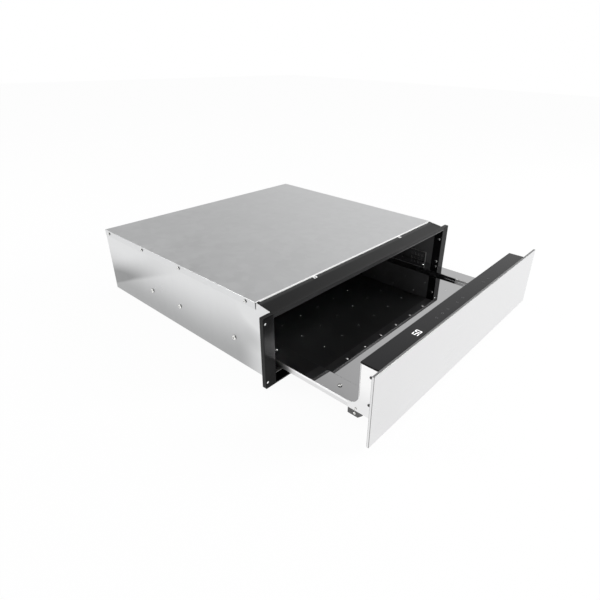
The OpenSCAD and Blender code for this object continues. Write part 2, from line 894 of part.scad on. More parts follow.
module cable_gland()
    color(black)
        difference() {
            union() {
                rod_y(gland_head_d, rear_out_y, rear_out_y + gland_head_l, gland_x, gland_z);
                rod_y(gland_neck_d, rear_in_y - gland_nut_l, rear_out_y, gland_x, gland_z);
                rod_y(gland_nut_d, rear_in_y - gland_nut_l, rear_in_y, gland_x, gland_z);
            }
            rod_y(gland_bore_d, rear_in_y - gland_nut_l - over, rear_out_y + gland_head_l + over,
                gland_x, gland_z);
        }

// Push latches: with the drawer shut the catch stops just short of the plunger
plunger_tip_y = arm_end_y + seat_gap;
latch_y = plunger_tip_y + latch_stroke_room;
module latch_body(side)
    color(dark)
        on_side(side)
            difference() {
                block([plunger_x - latch_w / 2, latch_y, floor_top_z],
                    [plunger_x + latch_w / 2, latch_y + latch_d, latch_top_z]);
                rod_y(plunger_d + 2 * screw_play, latch_y - over,
                    latch_y + plunger_tail + latch_stroke_room, plunger_x, plunger_z);
            }

module latch_plunger(side)
    color("white")
        on_side(side)
            rod_y(plunger_d, plunger_tip_y, latch_y + plunger_tail, plunger_x, plunger_z);

module front_panel()
    color(stainless)
        in_drawer()
            translate([0, 0, panel_low])
                along_y(panel_back_y - panel_t, panel_back_y)
                    round_plate(panel_w, panel_top_z - panel_low, panel_corner_r);

module panel_bumpers()
    color(dark)
        in_drawer()
            for (side = [-1, 1], z = [panel_low + bumper_end, panel_top_z - bumper_end])
                rod_y(bumper_d, panel_back_y, panel_back_y + bumper_t,
                    side * (panel_w / 2 - bumper_inset), z);

module control_box()
    color(stainless)
        in_drawer()
            difference() {
                block([-box_x, panel_back_y, box_low_z], [box_x, box_back_y, glass_low_z]);
                block([-box_x - over, panel_back_y + tray_t, box_low_z + tray_t],
                    [box_x + over, box_back_y - tray_t, glass_low_z + over]);
            }

module control_glass()
    color(black)
        in_drawer()
            block([-drawer_x, panel_back_y, glass_low_z], [drawer_x, box_back_y, glass_top_z]);

// A seven segment digit standing on zero, its segments named from the top clockwise
module digit(segments) {
    half = (digit_h - stroke_w) / 2;
    if (segments[0])
        translate([0, digit_h - stroke_w])
            square([digit_w, stroke_w]);
    if (segments[1])
        translate([digit_w - stroke_w, half])
            square([stroke_w, half + stroke_w]);
    if (segments[2])
        translate([digit_w - stroke_w, 0])
            square([stroke_w, half + stroke_w]);
    if (segments[3])
        square([digit_w, stroke_w]);
    if (segments[4])
        square([stroke_w, half + stroke_w]);
    if (segments[5])
        translate([0, half])
            square([stroke_w, half + stroke_w]);
    if (segments[6])
        translate([0, half])
            square([digit_w, stroke_w]);
}

five = [true, false, true, true, false, true, true];
naught = [true, true, true, true, true, true, false];
glass_mid_y = (panel_back_y + box_back_y) / 2;
module display_digits()
    color("white")
        in_drawer()
            translate([digit_x, glass_mid_y - digit_h / 2, glass_top_z])
                linear_extrude(print_t) {
                    translate([-digit_pitch, 0])
                        digit(five);
                    digit(naught);
                }

module ring_mark()
    difference() {
        circle(d = icon_d);
        circle(d = icon_d - 2 * icon_line);
    }

module touch_icons()
    color("gray")
        in_drawer()
            translate([0, glass_mid_y, glass_top_z])
                linear_extrude(print_t)
                    for (share = icon_shares)
                        translate([share * box_x, 0])
                            ring_mark();

board_z = glass_low_z - board_drop;
module control_board()
    color("darkgreen")
        in_drawer() {
            block([board_x - board_w / 2, panel_back_y + board_inset, board_z],
                [board_x + board_w / 2, box_back_y - board_inset, board_z + board_t]);
            for (x = [-1, 1], y = [panel_back_y + 2 * board_inset, box_back_y - 2 * board_inset])
                translate([board_x + x * (board_w / 2 - board_inset), y, board_z + board_t])
                    cylinder(d = post_d, h = board_drop - board_t);
            translate([digit_x, glass_mid_y, board_z + board_t])
                block([-module_w / 2, -module_d / 2, 0],
                    [module_w / 2, module_d / 2, board_drop - board_t]);
            for (i = [1 : chip_count])
                translate([board_x + i * chip_pitch, glass_mid_y, board_z - chip_h])
                    block([-chip_w / 2, -chip_w / 2, 0], [chip_w / 2, chip_w / 2, chip_h]);
        }

bracket_back_y = box_back_y - bracket_setback;
bracket_screw_y = panel_back_y + bracket_screw_inset;
catch_y = arm_end_y - catch_d;
catch_pin_y = box_back_y + catch_pin_inset;
catch_pin_z = box_low_z + catch_pin_rise;
catch_face_screw_z = (catch_low_z + box_low_z) / 2;
bracket_top_z = glass_low_z;

// Outline of an end bracket: an upright with a fillet down to the arm along the tray
module bracket_outline()
    difference() {
        translate([panel_back_y, box_low_z])
            square([arm_end_y - panel_back_y, bracket_top_z - box_low_z]);
        translate([bracket_back_y, ledge_z + run_gap + fillet_r])
            square([fillet_r + over, bracket_top_z]);
        translate([arm_end_y, ledge_z + run_gap + fillet_r])
            circle(fillet_r, $fn = 96);
    }

module end_bracket(side)
    color(stainless)
        in_drawer()
            on_side(side)
                difference() {
                    along_x(box_x, drawer_x)
                        bracket_outline();
                    for (share = bracket_screw_shares)
                        screw_hole_x(small_screw, box_x, drawer_x, bracket_screw_y,
                            box_low_z + share * (bracket_top_z - box_low_z));
                    screw_hole_x(small_screw, box_x, drawer_x, catch_pin_y, catch_pin_z);
                }

module bracket_screws()
    color(dark)
        in_drawer()
            on_both_sides()
                for (share = bracket_screw_shares)
                    screw_out_x(small_screw, drawer_x, bracket_screw_y,
                        box_low_z + share * (bracket_top_z - box_low_z));

// Outline of the tray in width and height, for the right half
floor_half = box_x - ledge_w;
module tray_half_outline()
    polygon([
        [0, tray_floor_z - tray_t], [floor_half + tray_t, tray_floor_z - tray_t],
        [floor_half + tray_t, ledge_low_z], [box_x, ledge_low_z], [box_x, ledge_z],
        [floor_half, ledge_z], [floor_half, tray_floor_z], [0, tray_floor_z]
    ]);

module tray_fold_outline()
    translate([box_x, box_low_z])
        square([tray_t, ledge_z - box_low_z]);

air_rows = floor((tray_d - first_air_row - air_margin) / air_pitch_y) + 1;
air_columns = floor((2 * floor_half - 2 * air_side_margin) / air_pitch_x) + 1;
module ledge_screw_holes()
    for (share = ledge_screw_shares)
        translate([0, box_back_y + share * tray_d, slide_top_z - over - slide_t])
            cylinder(d = small_screw[2] + 2 * screw_play, h = tray_t + slide_t + 2 * over);

module drawer_tray()
    color(stainless)
        in_drawer()
            difference() {
                on_both_sides() {
                    along_y(box_back_y, tray_back_y)
                        tray_half_outline();
                    along_y(arm_end_y, tray_back_y)
                        tray_fold_outline();
                }
                for (i = [0 : air_columns - 1], j = [0 : air_rows - 1])
                    translate([(i - (air_columns - 1) / 2) * air_pitch_x,
                            box_back_y + first_air_row + j * air_pitch_y,
                            tray_floor_z - tray_t - over])
                        cylinder(d = air_hole_d, h = tray_t + 2 * over, $fn = 24);
                for (side = [-1, 1])
                    translate([side * slide_x, 0, 0])
                        ledge_screw_holes();
            }

module tray_back_rail()
    color(stainless)
        in_drawer() {
            block([-floor_half + fit_gap, tray_back_y - tray_t, tray_floor_z],
                [floor_half - fit_gap, tray_back_y, ledge_z + back_rail_h]);
            block([-box_x + rail_inset, tray_back_y - tray_t, ledge_z],
                [box_x - rail_inset, tray_back_y, ledge_z + back_rail_h]);
            block([-box_x + rail_inset, tray_back_y - flange_w, ledge_z + back_rail_h - tray_t],
                [box_x - rail_inset, tray_back_y, ledge_z + back_rail_h]);
        }

module ledge_screws()
    color("silver")
        in_drawer()
            for (side = [-1, 1], share = ledge_screw_shares)
                translate([side * slide_x, box_back_y + share * tray_d, ledge_z])
                    screw(small_screw);

// Rubber boot where the control's wires leave the housing
module loom_boot()
    color(black)
        in_drawer()
            along_x(box_x - boot_w, box_x)
                intersection() {
                    translate([box_back_y, ledge_z])
                        square([boot_d, boot_r]);
                    translate([box_back_y + boot_d, ledge_z])
                        circle(boot_r);
                }

// Outline of a catch: its tab stands behind the control housing, its front lower corner is cut off
module catch_outline()
    polygon([
        [catch_y + catch_chamfer, catch_low_z], [arm_end_y, catch_low_z], [arm_end_y, catch_top_z],
        [box_back_y + fit_gap, catch_top_z], [box_back_y + fit_gap, box_low_z - fit_gap],
        [catch_y, box_low_z - fit_gap], [catch_y, catch_low_z + catch_chamfer]
    ]);

module catch(side)
    color(dark)
        in_drawer()
            on_side(side)
                difference() {
                    union() {
                        along_x(box_x - catch_t, box_x)
                            catch_outline();
                        block([box_x - catch_foot_w, catch_y + catch_chamfer, catch_low_z],
                            [box_x, arm_end_y, catch_low_z + catch_foot_t]);
                    }
                    screw_hole_x(small_screw, box_x - catch_t, box_x, catch_pin_y, catch_pin_z);
                    screw_hole_x(small_screw, box_x - catch_t, box_x,
                        catch_y + catch_d / 2, catch_face_screw_z);
                }

module catch_screws()
    color("silver")
        in_drawer()
            on_both_sides() {
                screw_out_x(small_screw, drawer_x, catch_pin_y, catch_pin_z);
                screw_out_x(small_screw, box_x, catch_y + catch_d / 2, catch_face_screw_z);
            }

base_pan();
side_panel(-1);  // side_panel_left
side_panel(1);  // side_panel_right
rear_panel();
top_cover();
front_frame();
liner_top();
liner_side(-1);  // liner_left
liner_side(1);  // liner_right
liner_rear();
liner_floor();
top_insulation();
floor_insulation();
slide_bracket(-1);  // slide_bracket_left
slide_bracket(1);  // slide_bracket_right
slide_outer(-1);  // slide_outer_left
slide_outer(1);  // slide_outer_right
cover_screws();
tab_screws();
rail_screws();
frame_screws();
heating_element();
heater_clips();
fan_plate();
fan_standoffs();
fan_motor();
safety_thermostat();
terminal_block();
cable_gland();
latch_body(-1);  // latch_body_left
latch_body(1);  // latch_body_right
fan_impeller();
motor_shaft();
impeller_nut();
latch_plunger(-1);  // latch_plunger_left
latch_plunger(1);  // latch_plunger_right
slide_middle(-1);  // slide_middle_left
ball_cage(-1);  // ball_cage_left
slide_middle(1);  // slide_middle_right
ball_cage(1);  // ball_cage_right
front_panel();
panel_bumpers();
control_box();
control_glass();
display_digits();
touch_icons();
control_board();
end_bracket(-1);  // end_bracket_left
end_bracket(1);  // end_bracket_right
bracket_screws();
drawer_tray();
tray_back_rail();
ledge_screws();
loom_boot();
slide_inner(-1);  // slide_inner_left
slide_inner(1);  // slide_inner_right
catch(-1);  // catch_left
catch(1);  // catch_right
catch_screws();
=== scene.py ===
"""Finish of a built in warming drawer, modelled around its frame and laid out as an add-on."""
import json
import math
from contextlib import contextmanager

import bmesh
import bpy
from bpy.props import FloatProperty, FloatVectorProperty, IntProperty, PointerProperty
from mathutils import Matrix, Vector

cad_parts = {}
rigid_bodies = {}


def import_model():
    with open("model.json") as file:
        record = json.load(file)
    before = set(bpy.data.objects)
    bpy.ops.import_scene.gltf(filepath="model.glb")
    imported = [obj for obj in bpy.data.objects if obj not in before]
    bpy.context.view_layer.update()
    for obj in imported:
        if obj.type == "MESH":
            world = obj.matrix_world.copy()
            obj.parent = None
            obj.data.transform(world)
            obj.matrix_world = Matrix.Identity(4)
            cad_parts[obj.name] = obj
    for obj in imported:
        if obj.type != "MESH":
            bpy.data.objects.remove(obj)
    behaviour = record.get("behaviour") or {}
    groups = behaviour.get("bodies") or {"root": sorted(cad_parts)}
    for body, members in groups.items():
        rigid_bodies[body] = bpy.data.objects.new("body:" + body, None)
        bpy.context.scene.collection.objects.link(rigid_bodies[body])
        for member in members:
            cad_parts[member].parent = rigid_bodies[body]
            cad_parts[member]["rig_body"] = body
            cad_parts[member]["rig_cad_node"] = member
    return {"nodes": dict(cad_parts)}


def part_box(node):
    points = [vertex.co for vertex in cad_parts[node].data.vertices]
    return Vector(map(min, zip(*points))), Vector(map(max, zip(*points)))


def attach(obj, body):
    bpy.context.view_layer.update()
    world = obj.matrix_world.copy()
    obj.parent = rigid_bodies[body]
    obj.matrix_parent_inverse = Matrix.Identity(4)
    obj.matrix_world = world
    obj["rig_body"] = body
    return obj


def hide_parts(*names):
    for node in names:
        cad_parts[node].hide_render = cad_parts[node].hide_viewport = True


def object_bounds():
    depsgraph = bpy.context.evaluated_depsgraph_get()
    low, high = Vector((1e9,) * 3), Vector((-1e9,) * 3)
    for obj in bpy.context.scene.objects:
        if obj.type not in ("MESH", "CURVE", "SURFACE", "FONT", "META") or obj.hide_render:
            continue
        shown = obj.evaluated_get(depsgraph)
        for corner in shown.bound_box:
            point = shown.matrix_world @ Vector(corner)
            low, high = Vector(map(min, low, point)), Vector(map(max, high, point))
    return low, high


bl_info = {
    "name": "Warming Drawer Finish",
    "version": (1, 0, 0),
    "blender": (4, 5, 0),
    "location": "3D View > Sidebar > Warming Drawer",
    "description": "Gives the frame of a built in warming drawer its finishes, fittings and studio",
    "category": "Add Mesh",
}

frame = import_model()
NODES = frame["nodes"]
CAD_LOW, CAD_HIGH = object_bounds()
MM = 0.001
SIDES = ("left", "right")

# Points of a node's loose triangles that are closer than this are one point.
MERGE = 0.002 * MM
# Steps up to this height, where folds and rims meet, are merged away.
STEP = 0.04 * MM
# Triangles that meet at less than this angle are one flat face.
FLAT = math.radians(0.5)
# Edges that turn by more than this are rounded.
SHARP = math.radians(30)
# Faces that turn by less than this are shaded as one.
SMOOTH = math.radians(38)
# A face looks along an axis if its normal's part along that axis is more than this.
LOOKS = 0.5
# A face is square to an axis if its normal's part along that axis is at least this.
SQUARE = 0.985


# Sizes and colours that a user can change
def colour(name, description, value):
    """A colour property with its default."""
    return FloatVectorProperty(name=name, description=description, default=value, size=3,
                               min=0, max=1, subtype="COLOR")


def length(name, description, value):
    """A length property with its default in metres."""
    return FloatProperty(name=name, description=description, default=value, min=0, unit="LENGTH",
                         precision=5)


def angle(name, description, degrees):
    """An angle property with its default given in degrees."""
    return FloatProperty(name=name, description=description, default=math.radians(degrees),
                         unit="ROTATION")


def place(name, description, value):
    """A place property with its default in metres."""
    return FloatVectorProperty(name=name, description=description, default=value,
                               subtype="TRANSLATION")


def amount(name, description, value, unit="NONE"):
    """A property that is an amount from zero up, with a unit where it has one."""
    return FloatProperty(name=name, description=description, default=value, min=0, unit=unit)


class DrawerFinishes(bpy.types.PropertyGroup):
    """Colours of the finishes"""
    zinc: colour("Zinc", "Galvanised sheet of the cabinet", (0.74, 0.745, 0.75))
    # Painted reflection on the sides: painted light on their upper part, painted shade on their
    # lower part.
    zinc_painted_light: colour("Bright zinc", "Pale upper part of the sides", (0.76, 0.765, 0.77))
    zinc_painted_shade: colour("Dull zinc", "Dull lower part of the sides", (0.27, 0.273, 0.275))
    # Painted highlight on the cover's front lip and rims.
    lip_zinc_highlight: colour("White zinc", "Folded front lip of the cover", (0.98, 0.98, 0.98))
    gloss_black: colour("Gloss black", "Enamel of the front frame", (0.008, 0.008, 0.0083))
    satin_black: colour("Satin black", "Enamel of the strip and the sides", (0.003, 0.003, 0.0032))
    satin_grey: colour("Satin grey", "Enamel of the strip's rear edge", (0.028, 0.028, 0.0285))
    # The lip over the opening is the frame's enamel made lighter: painted light.
    lip_painted_light: colour("Lip grey", "Enamel of the lip over the opening", (0.028, 0.028, 0.0285))
    # Paler edges of the frame: partly thin enamel, partly painted highlight.
    edge_grey_and_highlight: colour("Edge grey", "Edges where the enamel is thin", (0.15, 0.15, 0.15))
    lining: colour("Lining", "Enamel of the cavity", (0.060, 0.060, 0.061))
    # A lighter copy of the lining: painted light on the cavity's sides and under the frame.
    lining_painted_light: colour("Side lining", "Enamel of the cavity's sides", (0.105, 0.105, 0.107))
    dark_grey: colour("Dark grey", "Enamel of the brackets", (0.070, 0.070, 0.072))
    # Paler vent edges: partly bare steel, partly painted highlight.
    vent_grey_and_highlight: colour("Vent grey", "Edges of the vents in the brackets", (0.50, 0.50, 0.50))
    catch_grey: colour("Catch grey", "Enamel of the catches", (0.11, 0.11, 0.11))
    # Paler feet of the catches.
    worn_foot: colour("Worn foot", "Feet of the catches, worn bare", (0.50, 0.50, 0.50))
    silver: colour("Silver", "Pale front panel", (0.80, 0.80, 0.805))
    # Painted shade on the front panel's top and rounded edges.
    silver_edge: colour("Silver edge", "Edges of the front panel", (0.30, 0.30, 0.30))
    stainless: colour("Stainless", "Bright folded stainless sheet", (0.97, 0.97, 0.975))
    # Painted highlight on the front of the tray's inner walls.
    bare_edge: colour("Bare edge", "Front of the tray's inner walls", (0.80, 0.80, 0.80))
    # The end brackets are one sheet, lighter on their upper part: painted light.
    side_steel: colour("Side steel", "Lower part of the end brackets", (0.85, 0.85, 0.855))
    bracket_painted_light: colour("Bright side", "Upper part of the end brackets", (0.98, 0.98, 0.98))
    # The tray's outer walls, with a painted highlight in a band along their top.
    rail_steel: colour("Rail steel", "Outer walls of the tray", (0.77, 0.77, 0.775))
    rail_painted_highlight: colour("Bright rail", "Upper band of the outer walls", (0.97, 0.97, 0.975))
    mirror: colour("Mirror", "Polished stainless tray", (0.60, 0.60, 0.605))
    slide: colour("Slide", "Zinc of the slides", (0.72, 0.72, 0.71))
    # Dark steel of the slides' middle members, also used as painted shade in the walls of the
    # tray's holes.
    dark_slide_and_hole_shade_tone: colour("Oiled slide", "Oiled steel of the middle members", (0.10, 0.10, 0.10))
    bearing: colour("Bearing", "Hardened steel of balls and shaft", (0.66, 0.66, 0.67))
    screw: colour("Screw", "Zinc plate of the screws", (0.88, 0.88, 0.86))
    # Painted shade in the screws' recesses and low on their heads.
    screw_painted_shade: colour("Dark screw", "Black oxide in the recesses", (0.02, 0.02, 0.022))
    screw_grey: colour("Grey screw", "Phosphate of the bracket screws", (0.10, 0.10, 0.10))
    glass: colour("Glass", "Black control glass", (0.008, 0.008, 0.009))
    lit: colour("Lit segments", "Lit segments of the display", (1.0, 1.0, 1.0))
    mark: colour("Touch marks", "Printed touch marks", (0.12, 0.12, 0.125))
    rubber: colour("Rubber", "Boot and bumpers", (0.018, 0.018, 0.018))
    nylon: colour("Nylon", "Gland and latch housings", (0.02, 0.02, 0.021))
    acetal: colour("Acetal", "Latch plungers", (0.78, 0.78, 0.76))
    ceramic: colour("Ceramic", "Thermostat and terminal block", (0.74, 0.71, 0.62))
    lacquer: colour("Lacquer", "Control board", (0.02, 0.12, 0.05))
    sheath: colour("Sheath", "Oxidised sheath of the heater", (0.06, 0.05, 0.045))
    iron: colour("Iron", "Motor of the fan", (0.05, 0.05, 0.055))
    aluminium: colour("Aluminium", "Impeller of the fan", (0.70, 0.71, 0.72))
    brass: colour("Brass", "Nut of the impeller", (0.62, 0.45, 0.16))
    wool: colour("Wool", "Mineral wool over and under the lining", (0.045, 0.042, 0.038))


class DrawerSizes(bpy.types.PropertyGroup):
    """Sizes of the details"""
    sheet: length("Sheet", "Thickness of the cabinet's sheet", 0.8 * MM)
    tray_sheet: length("Tray sheet", "Thickness of the tray's sheet", 0.8 * MM)
    fold_r: length("Fold radius", "Inner radius of a fold in sheet", 0.45 * MM)
    rim_r: length("Rim radius", "Rounding of a cut sheet edge", 0.12 * MM)
    frame_fold: length("Frame fold", "Outer radius of the front frame's folds", 0.8 * MM)
    panel_r: length("Panel edge", "Rounding of the front panel", 0.7 * MM)
    glass_r: length("Glass edge", "Ground edge of the glass", 0.5 * MM)
    latch_r: length("Latch edge", "Rounding of a latch housing", 0.5 * MM)
    catch_r: length("Catch edge", "Rounding of a catch", 0.3 * MM)
    boot_r: length("Boot edge", "Rounding of the rubber boot", 0.8 * MM)
    lip_h: length("Lip", "Height of the frame over the opening", 11.3 * MM)
    flange_w: length("Flange edge", "Width of the frame's satin outer edge", 3 * MM)
    # How far back the painted highlight on the tray's inner walls runs.
    highlight_run: length("Bare run", "Length of the tray's bare inner walls", 95 * MM)
    # Height of the painted highlight band along the top of the tray's outer walls.
    highlight_band_h: length("Rail band", "Height of the bright band on the outer walls", 3.2 * MM)
    foot_h: length("Foot", "Height of a catch's worn foot", 3.2 * MM)
    cover_head: length("Cover screw", "Height of a cover screw's head", 2.2 * MM)
    rail_head: length("Rail screw", "Height of a rail screw's head", 2.6 * MM)
    tab_head: length("Tab screw", "Height of a tab screw's head", 1.4 * MM)
    frame_head: length("Frame screw", "Height of a frame screw's head", 1.8 * MM)
    bracket_head: length("Bracket screw", "Height of a bracket screw's head", 1.3 * MM)
    ledge_head: length("Ledge screw", "Height of a ledge screw's head", 2.4 * MM)
    catch_head: length("Catch screw", "Height of a catch screw's head", 1.3 * MM)
    head_sides: IntProperty(name="Head sides", description="Sides of a screw's round head",
                            default=28, min=12, max=64)


class DrawerStudio(bpy.types.PropertyGroup):
    """Camera and light"""
    camera_place: place("Camera", "Where the camera stands", (-0.7059, -0.4751, 0.5035))
    camera_azimuth: angle("Azimuth", "View direction, from +Y towards +X", 50.338)
    camera_elevation: angle("Elevation", "View direction above the horizon", -27.818)
    camera_roll: angle("Roll", "Turn of the camera about its view", 1.553)
    lens: FloatProperty(name="Lens", description="Focal length on a 36 mm sensor", default=28.017,
                        min=1, unit="CAMERA")
    shift_x: FloatProperty(name="Shift X", description="Sideways shift of the view", default=-0.048)
    shift_y: FloatProperty(name="Shift Y", description="Upward shift of the view", default=-0.0088)
    floor_size: length("Floor", "Width of the studio floor", 14.0)
    floor_white: colour("Floor white", "Colour of the floor under the lamps", (0.93, 0.93, 0.93))
    backdrop: amount("Backdrop", "Share of plain white that the camera and metal see", 0.95)
    sky_low: amount("Sky at the horizon", "Brightness low in the sky", 1.0)
    sky_left: amount("Sky on the left", "Brightness half way up, left", 0.44)
    sky_right: amount("Sky on the right", "Brightness half way up, right", 0.72)
    sky_high: amount("Sky overhead", "Brightness overhead", 0.9)
    left_place: place("Left lamp", "Where the left lamp hangs", (-1.25, 1.55, 1.8))
    left_aim: place("Left aim", "What the left lamp points at", (0, 0.15, 0.05))
    left_size: length("Left size", "Width of the left lamp", 0.9)
    left_power: amount("Left power", "Power of the left lamp", 14.0, "POWER")
    front_place: place("Front lamp", "Where the front lamp hangs", (1.5, -1.7, 1.15))
    front_aim: place("Front aim", "What the front lamp points at", (0, 0, 0.05))
    front_size: length("Front size", "Width of the front lamp", 1.0)
    front_power: amount("Front power", "Power of the front lamp", 45.0, "POWER")


# Nodes of a material, added by Python expressions
class Wire:
    """A node's output that Python's arithmetic can use."""

    def __init__(self, finish, socket):
        self.finish = finish
        self.socket = socket

    def _sum(self, operation, first, second):
        """The output of a new Math node."""
        return self.finish.add("ShaderNodeMath", {"operation": operation}, {0: first, 1: second})

    def __add__(self, other):
        return self._sum("ADD", self, other)

    def __radd__(self, other):
        return self._sum("ADD", other, self)

    def __sub__(self, other):
        return self._sum("SUBTRACT", self, other)

    def __rsub__(self, other):
        return self._sum("SUBTRACT", other, self)

    def __mul__(self, other):
        return self._sum("MULTIPLY", self, other)

    def __rmul__(self, other):
        return self._sum("MULTIPLY", other, self)


class Finish:
    """A material being made, with one method that adds its nodes."""

    def __init__(self, name, world=False):
        self.block = (bpy.data.worlds if world else bpy.data.materials).new(name)
        self.block.use_nodes = True
        self.tree = self.block.node_tree
        if not world:
            self.shader = self.tree.nodes["Principled BSDF"]
            self.place = self.add("ShaderNodeTexCoord", {}, {}, "Object")

    def add(self, kind, settings, sockets, out=0):
        """Adds a node, sets its settings, then fills its sockets with values or wires."""
        node = self.tree.nodes.new(kind)
        for key, value in settings.items():
            if key == "stops":
                ramp = node.color_ramp.elements
                while len(ramp) < len(value):
                    ramp.new(1.0)
                for stop, (position, tone) in zip(ramp, value):
                    stop.position = position
                    stop.color = (*tone, 1)
            else:
                setattr(node, key, value)
        for key, value in sockets.items():
            self.fill(node.inputs[key], value)
        return Wire(self, node.outputs[out])

    def fill(self, socket, value):
        """Links a wire to a socket, or sets the socket's own value."""
        if isinstance(value, Wire):
            self.tree.links.new(value.socket, socket)
        elif socket.type == "RGBA" and len(value) == 3:
            socket.default_value = (*value, 1)
        else:
            socket.default_value = value

    def set(self, **sockets):
        """Fills the shader's sockets, named with underscores for spaces."""
        for key, value in sockets.items():
            self.fill(self.shader.inputs[key.replace("_", " ")], value)
        return self

    def noise(self, scale, detail=3.0, rough=0.5, stretch=(1, 1, 1)):
        """Noise from 0 to 1 with scale features a metre, longer where stretch is small."""
        spot = self.place
        if stretch != (1, 1, 1):
            spot = self.add("ShaderNodeMapping", {}, {"Vector": self.place, "Scale": stretch})
        return self.add("ShaderNodeTexNoise", {},
                        {"Vector": spot, "Scale": scale, "Detail": detail, "Roughness": rough})

    def cells(self, scale):
        """A value from 0 to 1 that is the same all over each crystal."""
        tint = self.add("ShaderNodeTexVoronoi", {}, {"Vector": self.place, "Scale": scale}, "Color")
        return self.add("ShaderNodeSeparateColor", {}, {"Color": tint}, "Red")

    def part(self, letter, vector=None):
        """One part of a vector, or of the surface's point."""
        return self.add("ShaderNodeSeparateXYZ", {}, {"Vector": vector or self.place}, letter)

    def between(self, value, low, high, easing="SMOOTHSTEP"):
        """How far a value has come from low to high, eased and kept from 0 to 1."""
        return self.add("ShaderNodeMapRange", {"interpolation_type": easing}, {
            "Value": value, "From Min": low, "From Max": high, "To Min": 0.0, "To Max": 1.0})

    def window(self, value, start, full, fading, end):
        """1 from full to fading, eased down to 0 at start and at end."""
        return self.between(value, start, full) * self.between(value, end, fading)

    def axis(self, letter, low, high):
        """How far the surface's point has come along an axis, evenly from low to high."""
        return self.between(self.part(letter), low, high, "LINEAR")

    def mix(self, share, first, second):
        """Blends two colours."""
        return self.add("ShaderNodeMix", {"data_type": "RGBA"},
                        {"Factor": share, "A": first, "B": second}, "Result")

    def tinted(self, tone, spread, mask):
        """A colour that is darker or lighter than its tone by up to a spread, after a mask."""
        return self.mix(mask, shade(tone, 1 - spread), shade(tone, 1 + spread))

    def relief(self, height, distance, strength=1.0):
        """Bumps the surface by a height from 0 to 1 times a distance in metres."""
        bump = self.add("ShaderNodeBump", {}, {"Height": height, "Distance": distance,
                                               "Strength": strength})
        return self.set(Normal=bump)

    def sprayed(self, roughness, clouds):
        """Ends an enamel with cloudy gloss and a fine orange peel, and gives its material."""
        self.set(Roughness=roughness + (clouds - 0.5) * 0.10)
        return self.relief(self.noise(900.0, 1.0), 0.02 * MM, 0.5).block


def shade(tone, share):
    """A colour made lighter or darker by a share."""
    return tuple(min(1.0, channel * share) for channel in tone)


# Finishes, each its own material
def zinc_sheet(name, tone, roughness):
    """Galvanised sheet: faint crystals, soft clouds, rolling grain and a slight wave."""
    finish = Finish(name).set(Metallic=1.0)
    crystals = finish.cells(70.0)
    clouds = finish.noise(7.0, 4.0, 0.55)
    grain = finish.noise(40.0, 2.0, 0.6, (1, 0.03, 1))
    mottle = crystals * 0.30 + clouds * 0.45 + grain * 0.25
    finish.set(Base_Color=finish.tinted(tone, 0.07, mottle))
    finish.set(Roughness=roughness + (clouds - 0.5) * 0.16 + (crystals - 0.5) * 0.05)
    return finish.relief(finish.noise(5.0, 1.0, 0.3) + grain * 0.02, 0.05 * MM).block


def sheet_with_painted_reflection(name, bright, dull, span):
    """Galvanised sheet with a painted reflection: painted light above and in front, painted shade
    low down, and a band of painted shade behind.
    """
    finish = Finish(name).set(Metallic=1.0)
    low, high = span
    back = finish.axis("Y", low.y, high.y)
    rise = finish.axis("Z", low.z, high.z)
    streaks = finish.noise(40.0, 3.0, 0.55, (1, 1, 0.08))
    sweep = finish.noise(3.0, 1.0, 0.4, (1, 1, 1.5))
    # The painted light starts lower towards the back, in a line that sweeps a little.
    slant = rise + back * 0.12 + (sweep - 0.5) * 0.35
    pale = finish.between(slant, 0.15, 0.90)
    # A band of painted shade sinks towards the back and is strongest there.
    drift = rise + back * 1.5
    painted_dark_band = finish.window(drift, 1.56, 1.64, 1.64, 2.02) * finish.between(back, 0.42, 1.0)
    # Painted light right behind the front frame, apart from a patch of painted shade half way up.
    near = finish.between(back, 0.18, 0.04)
    smudge = finish.window(back, 0.02, 0.07, 0.08, 0.17) * finish.window(rise, 0.25, 0.5, 0.55, 0.8)
    light = pale * 0.75 + near * 0.6 + 0.24 - painted_dark_band * 0.65 - smudge * 0.35 + (streaks - 0.5) * 0.07
    finish.set(Base_Color=finish.mix(light, dull, bright))
    crystals = finish.cells(90.0)
    finish.set(Roughness=0.30 + (streaks - 0.5) * 0.04 + (crystals - 0.5) * 0.04)
    return finish.relief(finish.noise(5.0, 1.0, 0.3), 0.10 * MM).block


def white_zinc(name, tone):
    """Zinc painted nearly white as a painted highlight on folds and edges, scattering, with fine
    stretch marks.
    """
    finish = Finish(name).set(Metallic=0.0)
    lines = finish.noise(300.0, 3.0, 0.6, (0.1, 1, 1))
    finish.set(Base_Color=finish.tinted(tone, 0.03, lines))
    finish.set(Roughness=0.42 + (lines - 0.5) * 0.1)
    return finish.relief(lines, 0.01 * MM, 0.4).block


def enamel(name, tone, roughness, dust, specular=0.5):
    """Sprayed enamel with a fine orange peel and a little dust."""
    finish = Finish(name).set(Specular_IOR_Level=specular)
    clouds = finish.noise(18.0, 4.0)
    finish.set(Base_Color=finish.tinted(tone, dust, clouds))
    return finish.sprayed(roughness, clouds)


